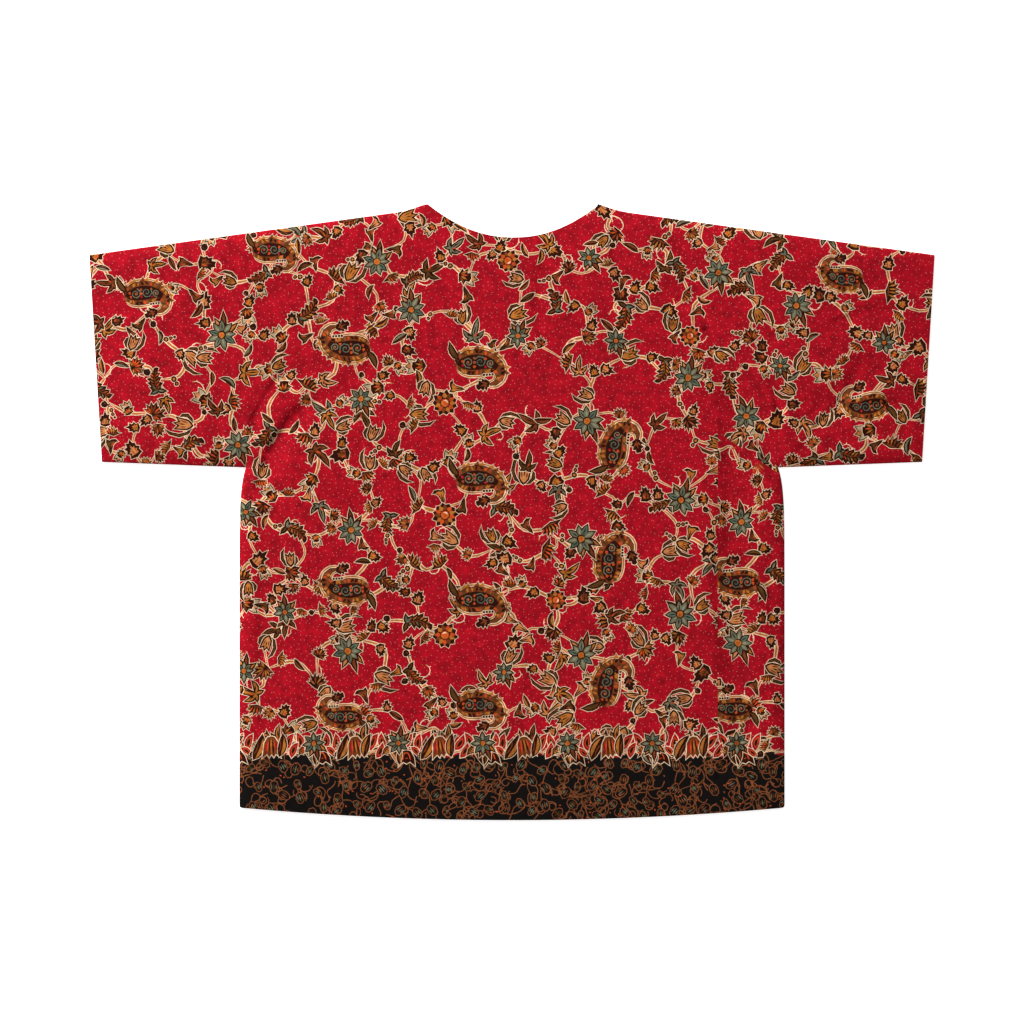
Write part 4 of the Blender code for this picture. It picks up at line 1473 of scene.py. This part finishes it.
def printed_mesh(outline, outlines, loops, lines, spots, keep_rim=False):
    """Points, triangles and inks of a face that is meshed only where its ink changes or it bends.

    The outline's points come first, and with keep_rim the edge of the face has no other points.
    """
    size = len(outline)
    more, edges = with_edges([o for _, o in outlines], [], np.zeros((0, 2)), size)
    points, triangles, sources = triangulated(size, np.concatenate((outline, more)), edges)
    ring = ring_of(sources, size)
    fixed = np.isin(np.arange(len(points)), ring)
    edges, rim = ink_edges(triangles, inked(points, triangles, outlines), len(points))
    if keep_rim:
        for end in np.setdiff1d(rim, ring):
            edges[edges == end] = ring[np.argmin(lengths(points[ring] - points[end]))]
        edges = edges[edges[:, 0] != edges[:, 1]]
    edges = straightened(points, edges, fixed)
    used = np.concatenate((ring, np.setdiff1d(edges, ring)))
    more, more_edges = with_edges(loops, lines, spots, len(used))
    edges = numbered(used, len(points))[edges].tolist() + more_edges
    points, triangles, sources = triangulated(size, np.concatenate((points[used], more)), edges)
    ring = ring_of(sources, size)
    used = np.concatenate((ring, np.setdiff1d(triangles, ring)))
    points, triangles = points[used], numbered(used, len(points))[triangles]
    return points, triangles, inked(points, triangles, outlines)


def ring_of(sources, size):
    """The points that stand for the first so many of the given ones."""
    at = {source: k for k, found in enumerate(sources) for source in found if source < size}
    ring = np.array([at[i] for i in range(size)])
    if len(np.unique(ring)) < size:
        raise ValueError("two points of the cloth's edge fell together")
    return ring


def inked(points, triangles, outlines):
    """The ink of each triangle: that of the topmost outline round its middle."""
    middles = points[triangles].mean(1)
    order = np.argsort(middles[:, 0])
    sorted_x = middles[order, 0]
    inks = np.zeros(len(triangles), int)
    for ink, outline in outlines:
        low, high = outline.min(0), outline.max(0)
        first, last = np.searchsorted(sorted_x, (low[0], high[0]))
        near = order[first:last]
        near = near[(middles[near, 1] > low[1]) & (middles[near, 1] < high[1])]
        if len(near):
            inks[near[inside(middles[near], outline)]] = ink
    return inks


def grid_spots(outline, step):
    """Spots in staggered rows inside an outline, off its edge."""
    low, high = outline.min(0), outline.max(0)
    rows = np.arange(low[1], high[1], ROW_PITCH * step)
    spots = []
    for i, y in enumerate(rows):
        x = np.arange(low[0] + 0.5 * step * (i % 2), high[0], step)
        spots.append(np.stack((x, np.full(len(x), y)), 1))
    spots = np.concatenate(spots)
    return spots[inside(spots, grown(outline, -GRID_MARGIN * step))]


def bent_spots(outline, place, step, sway):
    """Spots of a finer grid, only where the cloth bends by more than a sway over one step."""
    spots = grid_spots(outline, step)
    bent = np.zeros(len(spots))
    for reach in ((step, 0.0), (0.0, step)):
        either_side = place(spots + reach, 0.0) + place(spots - reach, 0.0)
        bent = np.maximum(bent, abs(place(spots, 0.0) - 0.5 * either_side)[:, 2])
    return spots[bent > sway]


def form_normals(place, points, depth):
    """The form's normal at each point, from how the place changes along X and along Y."""
    step = np.array(((NORMAL_STEP, 0.0), (0.0, NORMAL_STEP)))
    along = [place(points + s, depth) - place(points - s, depth) for s in step]
    normals = np.cross(*along)
    return normals / np.maximum(np.linalg.norm(normals, axis=1), TINY)[:, None]


def rim_of(triangles, count):
    """The points round the edge of a mesh, in order, and the triangle inside each edge from there."""
    starts, ends, owners = sides_of(triangles)
    free = ~np.isin(starts * count + ends, ends * count + starts)
    after = dict(zip(starts[free].tolist(), zip(ends[free].tolist(), owners[free].tolist())))
    ring, beside = [0], [after[0][1]]
    while after[ring[-1]][0] != 0:
        ring.append(after[ring[-1]][0])
        beside.append(after[ring[-1]][1])
    if len(ring) != free.sum():
        raise ValueError("the cloth's edge is not one closed line")
    return np.array(ring), np.array(beside)


def cloth(name, outline, outlines, lines, place, faces_down=False, printed_inside=None):
    """A piece of cloth: its printed outer face, its inner face and the rim between them."""
    outlines = overlapping(outlines, (outline.min(0), outline.max(0)))
    insets = [grown(outline, -reach) for reach in EDGE_LINES]
    spots, inner_spots = (
        np.concatenate((grid_spots(outline, grid), bent_spots(outline, place, *fine_grid)))
        for grid, fine_grid in ((GRID, FINE_GRID), (INNER_GRID, INNER_FINE_GRID))
    )
    points, triangles, inks = printed_mesh(outline, outlines, insets, lines, spots)
    ring, beside = rim_of(triangles, len(points))

    inner_outlines = overlapping(outlines, printed_inside) if printed_inside else []
    inner_points, inner_triangles, inner_inks = printed_mesh(
        points[ring], inner_outlines, [], lines, inner_spots, keep_rim=True
    )
    if len(rim_of(inner_triangles, len(inner_points))[0]) != len(ring):
        raise ValueError(name + ": the inner face has another edge than the outer one")

    count = len(points)
    a, b = ring, np.roll(ring, -1)
    c = np.arange(len(ring)) + count
    rim = np.concatenate((np.stack((b, a, c), 1), np.stack((b, c, np.roll(c, -1)), 1)))
    faces = np.concatenate((triangles, inner_triangles[:, ::-1] + count, rim))
    places = np.concatenate((place(points, 0.0), place(inner_points, CLOTH))) * MM
    out = -1.0 if faces_down else 1.0
    if faces_down:
        faces = faces[:, ::-1]
    outer_normals = out * form_normals(place, points, 0.0)
    inner_normals = -out * form_normals(place, inner_points, CLOTH)
    normals = np.concatenate((outer_normals, inner_normals))
    p, q, r = (places[faces[-len(rim):, k]] for k in range(3))
    flat = np.cross(q - p, r - p)
    flat /= np.maximum(np.linalg.norm(flat, axis=1), NO_AREA)[:, None]
    corners = np.concatenate((normals[faces[:-len(rim)]].reshape(-1, 3), np.repeat(flat, 3, 0)))

    mesh = bpy.data.meshes.new(name)
    mesh.from_pydata(places.tolist(), [], faces.tolist())
    used = np.concatenate((inks, inner_inks, inks[beside], inks[beside]))
    kinds = sorted(set(used.tolist()))
    for kind in kinds:
        mesh.materials.append(MATERIALS[INKS[kind]])
    mesh.polygons.foreach_set("material_index", np.searchsorted(kinds, used).astype(np.int32))
    mesh.polygons.foreach_set("use_smooth", np.ones(len(faces), bool))
    mesh.normals_split_custom_set(corners.tolist())
    mesh.update()
    piece = bpy.data.objects.new(name, mesh)
    bpy.context.scene.collection.objects.link(piece)
    return piece


def area_of(outline):
    x, y = outline.T
    return 0.5 * abs(np.sum(x * np.roll(y, -1) - y * np.roll(x, -1)))


def linear(dye):
    """A dye's colour as light is added up, from how it looks on a screen."""
    shares = [value / 255.0 for value in dye]
    return tuple(s / 12.92 if s < 0.04045 else ((s + 0.055) / 1.055) ** 2.4 for s in shares)


def fill_inputs(tree, made, inputs):
    """Sets a node's inputs, or links those whose value is another node's output."""
    for key, value in inputs.items():
        if isinstance(value, bpy.types.NodeSocket):
            tree.links.new(value, made.inputs[key])
        else:
            made.inputs[key].default_value = value


def node(tree, kind, output, inputs, **settings):
    """Adds a node and gives its output."""
    made = tree.nodes.new("ShaderNode" + kind)
    for key, value in settings.items():
        setattr(made, key, value)
    fill_inputs(tree, made, inputs)
    return made.outputs[output]


def dye_material(name, dye):
    """Cotton dyed in one colour, a little uneven, with a plain weave."""
    material = bpy.data.materials.new("batik_" + name)
    material.use_nodes = True
    tree = material.node_tree
    shader = tree.nodes["Principled BSDF"]
    colour = tuple(DYE_SHARE * c for c in linear(dye)) + (1.0,)
    material.diffuse_color = colour
    fill_inputs(tree, shader, {
        "Base Color": colour, "Roughness": CLOTH_ROUGHNESS, "Specular IOR Level": CLOTH_GLOSS,
    })
    where = node(tree, "TexCoord", "Object", {})
    uneven = node(tree, "TexNoise", "Fac", {
        "Vector": where, "Scale": DYE_NOISE_SCALE, "Detail": 5.0, "Roughness": 0.78,
    })
    strength = node(tree, "MapRange", "Result", {
        "Value": uneven, "From Min": 0.3, "From Max": 0.7,
        "To Min": 1.0 - DYE_UNEVENNESS, "To Max": 1.0 + DYE_UNEVENNESS,
    })
    dyed = node(tree, "VectorMath", "Vector", {0: colour[:3], "Scale": strength}, operation="SCALE")
    if name == "crimson":
        distance = node(tree, "TexVoronoi", "Distance", {
            "Vector": where, "Scale": 1.0 / (DOT_PITCH * MM), "Randomness": DOT_RANDOMNESS,
        }, voronoi_dimensions="2D")
        dots = node(tree, "MapRange", "Result", {
            "Value": distance, "From Min": 1.25 * DOT_RADIUS / DOT_PITCH,
            "From Max": 0.6 * DOT_RADIUS / DOT_PITCH, "To Max": DOT_STRENGTH,
        })
        inputs = {"Factor": dots, "A": dyed, "B": linear(DOT_DYE) + (1.0,)}
        dyed = node(tree, "Mix", "Result", inputs, data_type="RGBA")

    wave_scale = 2.0 * math.pi / (WAVE_RADIANS * THREAD_PITCH * MM)
    threads = {"Vector": where, "Scale": wave_scale, "Distortion": 0.6}
    weave = [node(tree, "TexWave", "Fac", threads, bands_direction=direction) for direction in "XY"]
    crossing = node(tree, "Math", "Value", dict(enumerate(weave)), operation="MAXIMUM")
    rumple = node(tree, "TexNoise", "Fac", {"Vector": where, "Scale": RUMPLE_NOISE_SCALE, "Detail": 3.0})
    soft = node(tree, "Bump", "Normal", {"Strength": 0.5, "Distance": RUMPLE_HEIGHT * MM, "Height": rumple})
    bump = node(tree, "Bump", "Normal", {
        "Strength": 0.35, "Distance": THREAD_HEIGHT * MM, "Height": crossing, "Normal": soft,
    })
    fill_inputs(tree, shader, {"Base Color": dyed, "Normal": bump})
    return material


def dress(piece, node_name, outline):
    """Puts a piece of cloth in its solid's place and gives the size and area of its cut."""
    size = (outline.max(0) - outline.min(0)) * MM
    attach(piece, "root")
    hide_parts(node_name)
    return (float(size[0]), float(size[1])), float(area_of(outline) * MM**2)


def studio():
    """A pale floor that glows by itself, which lightens the shadow the shirt casts on it (painted light),
    soft light from the upper left, and a long lens straight above the shirt.
    """
    scene = bpy.context.scene
    bpy.ops.mesh.primitive_plane_add(size=FLOOR_SIZE, location=(0.0, 0.0, FLOOR_Z))
    floor = bpy.context.object
    floor.name = "studio_floor"
    paper = bpy.data.materials.new("studio_paper")
    paper.use_nodes = True
    # The floor's glow is painted light that lightens the shirt's shadow on it.
    fill_inputs(paper.node_tree, paper.node_tree.nodes["Principled BSDF"], {
        "Base Color": PAPER, "Roughness": 0.95, "Emission Color": WHITE, "Emission Strength": PAPER_GLOW,
    })
    floor.data.materials.append(paper)

    world = bpy.data.worlds.new("studio")
    world.use_nodes = True
    background = world.node_tree.nodes["Background"]
    fill_inputs(world.node_tree, background, {"Color": WHITE, "Strength": WORLD_STRENGTH})
    scene.world = world

    lamp = bpy.data.lights.new("soft_box", "AREA")
    lamp.shape = "SQUARE"
    lamp.size = LAMP_SIZE
    lamp.energy = LAMP_WATTS
    box = bpy.data.objects.new("soft_box", lamp)
    box.location = LAMP_PLACE
    box.rotation_euler = (-Vector(LAMP_PLACE)).to_track_quat("-Z", "Y").to_euler()
    scene.collection.objects.link(box)

    lens = bpy.data.cameras.new("camera")
    lens.sensor_width = SENSOR
    lens.lens = SENSOR * CAMERA_HEIGHT / VIEW_WIDTH
    lens.clip_end = CLIP_END
    camera = bpy.data.objects.new("camera", lens)
    camera.location = (0.0, 0.0, CAMERA_HEIGHT)
    scene.collection.objects.link(camera)
    scene.camera = camera
    scene.view_settings.view_transform = "Standard"
    scene.view_settings.look = "None"


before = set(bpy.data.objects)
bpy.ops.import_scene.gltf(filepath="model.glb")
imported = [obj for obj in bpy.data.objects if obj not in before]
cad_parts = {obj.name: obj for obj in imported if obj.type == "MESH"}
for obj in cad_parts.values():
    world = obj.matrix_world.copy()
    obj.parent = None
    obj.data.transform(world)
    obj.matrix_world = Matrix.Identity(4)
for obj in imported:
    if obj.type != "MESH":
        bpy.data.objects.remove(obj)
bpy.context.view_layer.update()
studio()
MATERIALS = {name: dye_material(name, dye) for name, dye in DYES.items()}

top_print = field(TOP_SEED)
tuck(top_print)
border(top_print)
under_print = field(UNDER_SEED, -1.0)
border(under_print)
neck_middle = np.array((NECK_X, NECK_POINT_Y))
neck_view = (neck_middle - (NECK_HALF, FRONT_NECK_DEPTH), neck_middle + (NECK_HALF, 0.0))

back_cut = body_outline(back_neck_y)
front_cut = body_outline(front_neck_y)
back = cloth("shirt_back", back_cut, top_print.outlines, [], place_back, printed_inside=neck_view)
front = cloth("shirt_front", front_cut, under_print.outlines, [], place_front, faces_down=True)
flat, area = dress(back, "back", back_cut)
flat, area = dress(front, "front", front_cut)
for side, name in ((-1, "sleeve_left"), (1, "sleeve_right")):
    cut = sleeve_outline(side)
    sleeve = cloth("shirt_" + name, cut, top_print.outlines, sleeve_lines(side), place_sleeve)
    flat, area = dress(sleeve, name, cut)
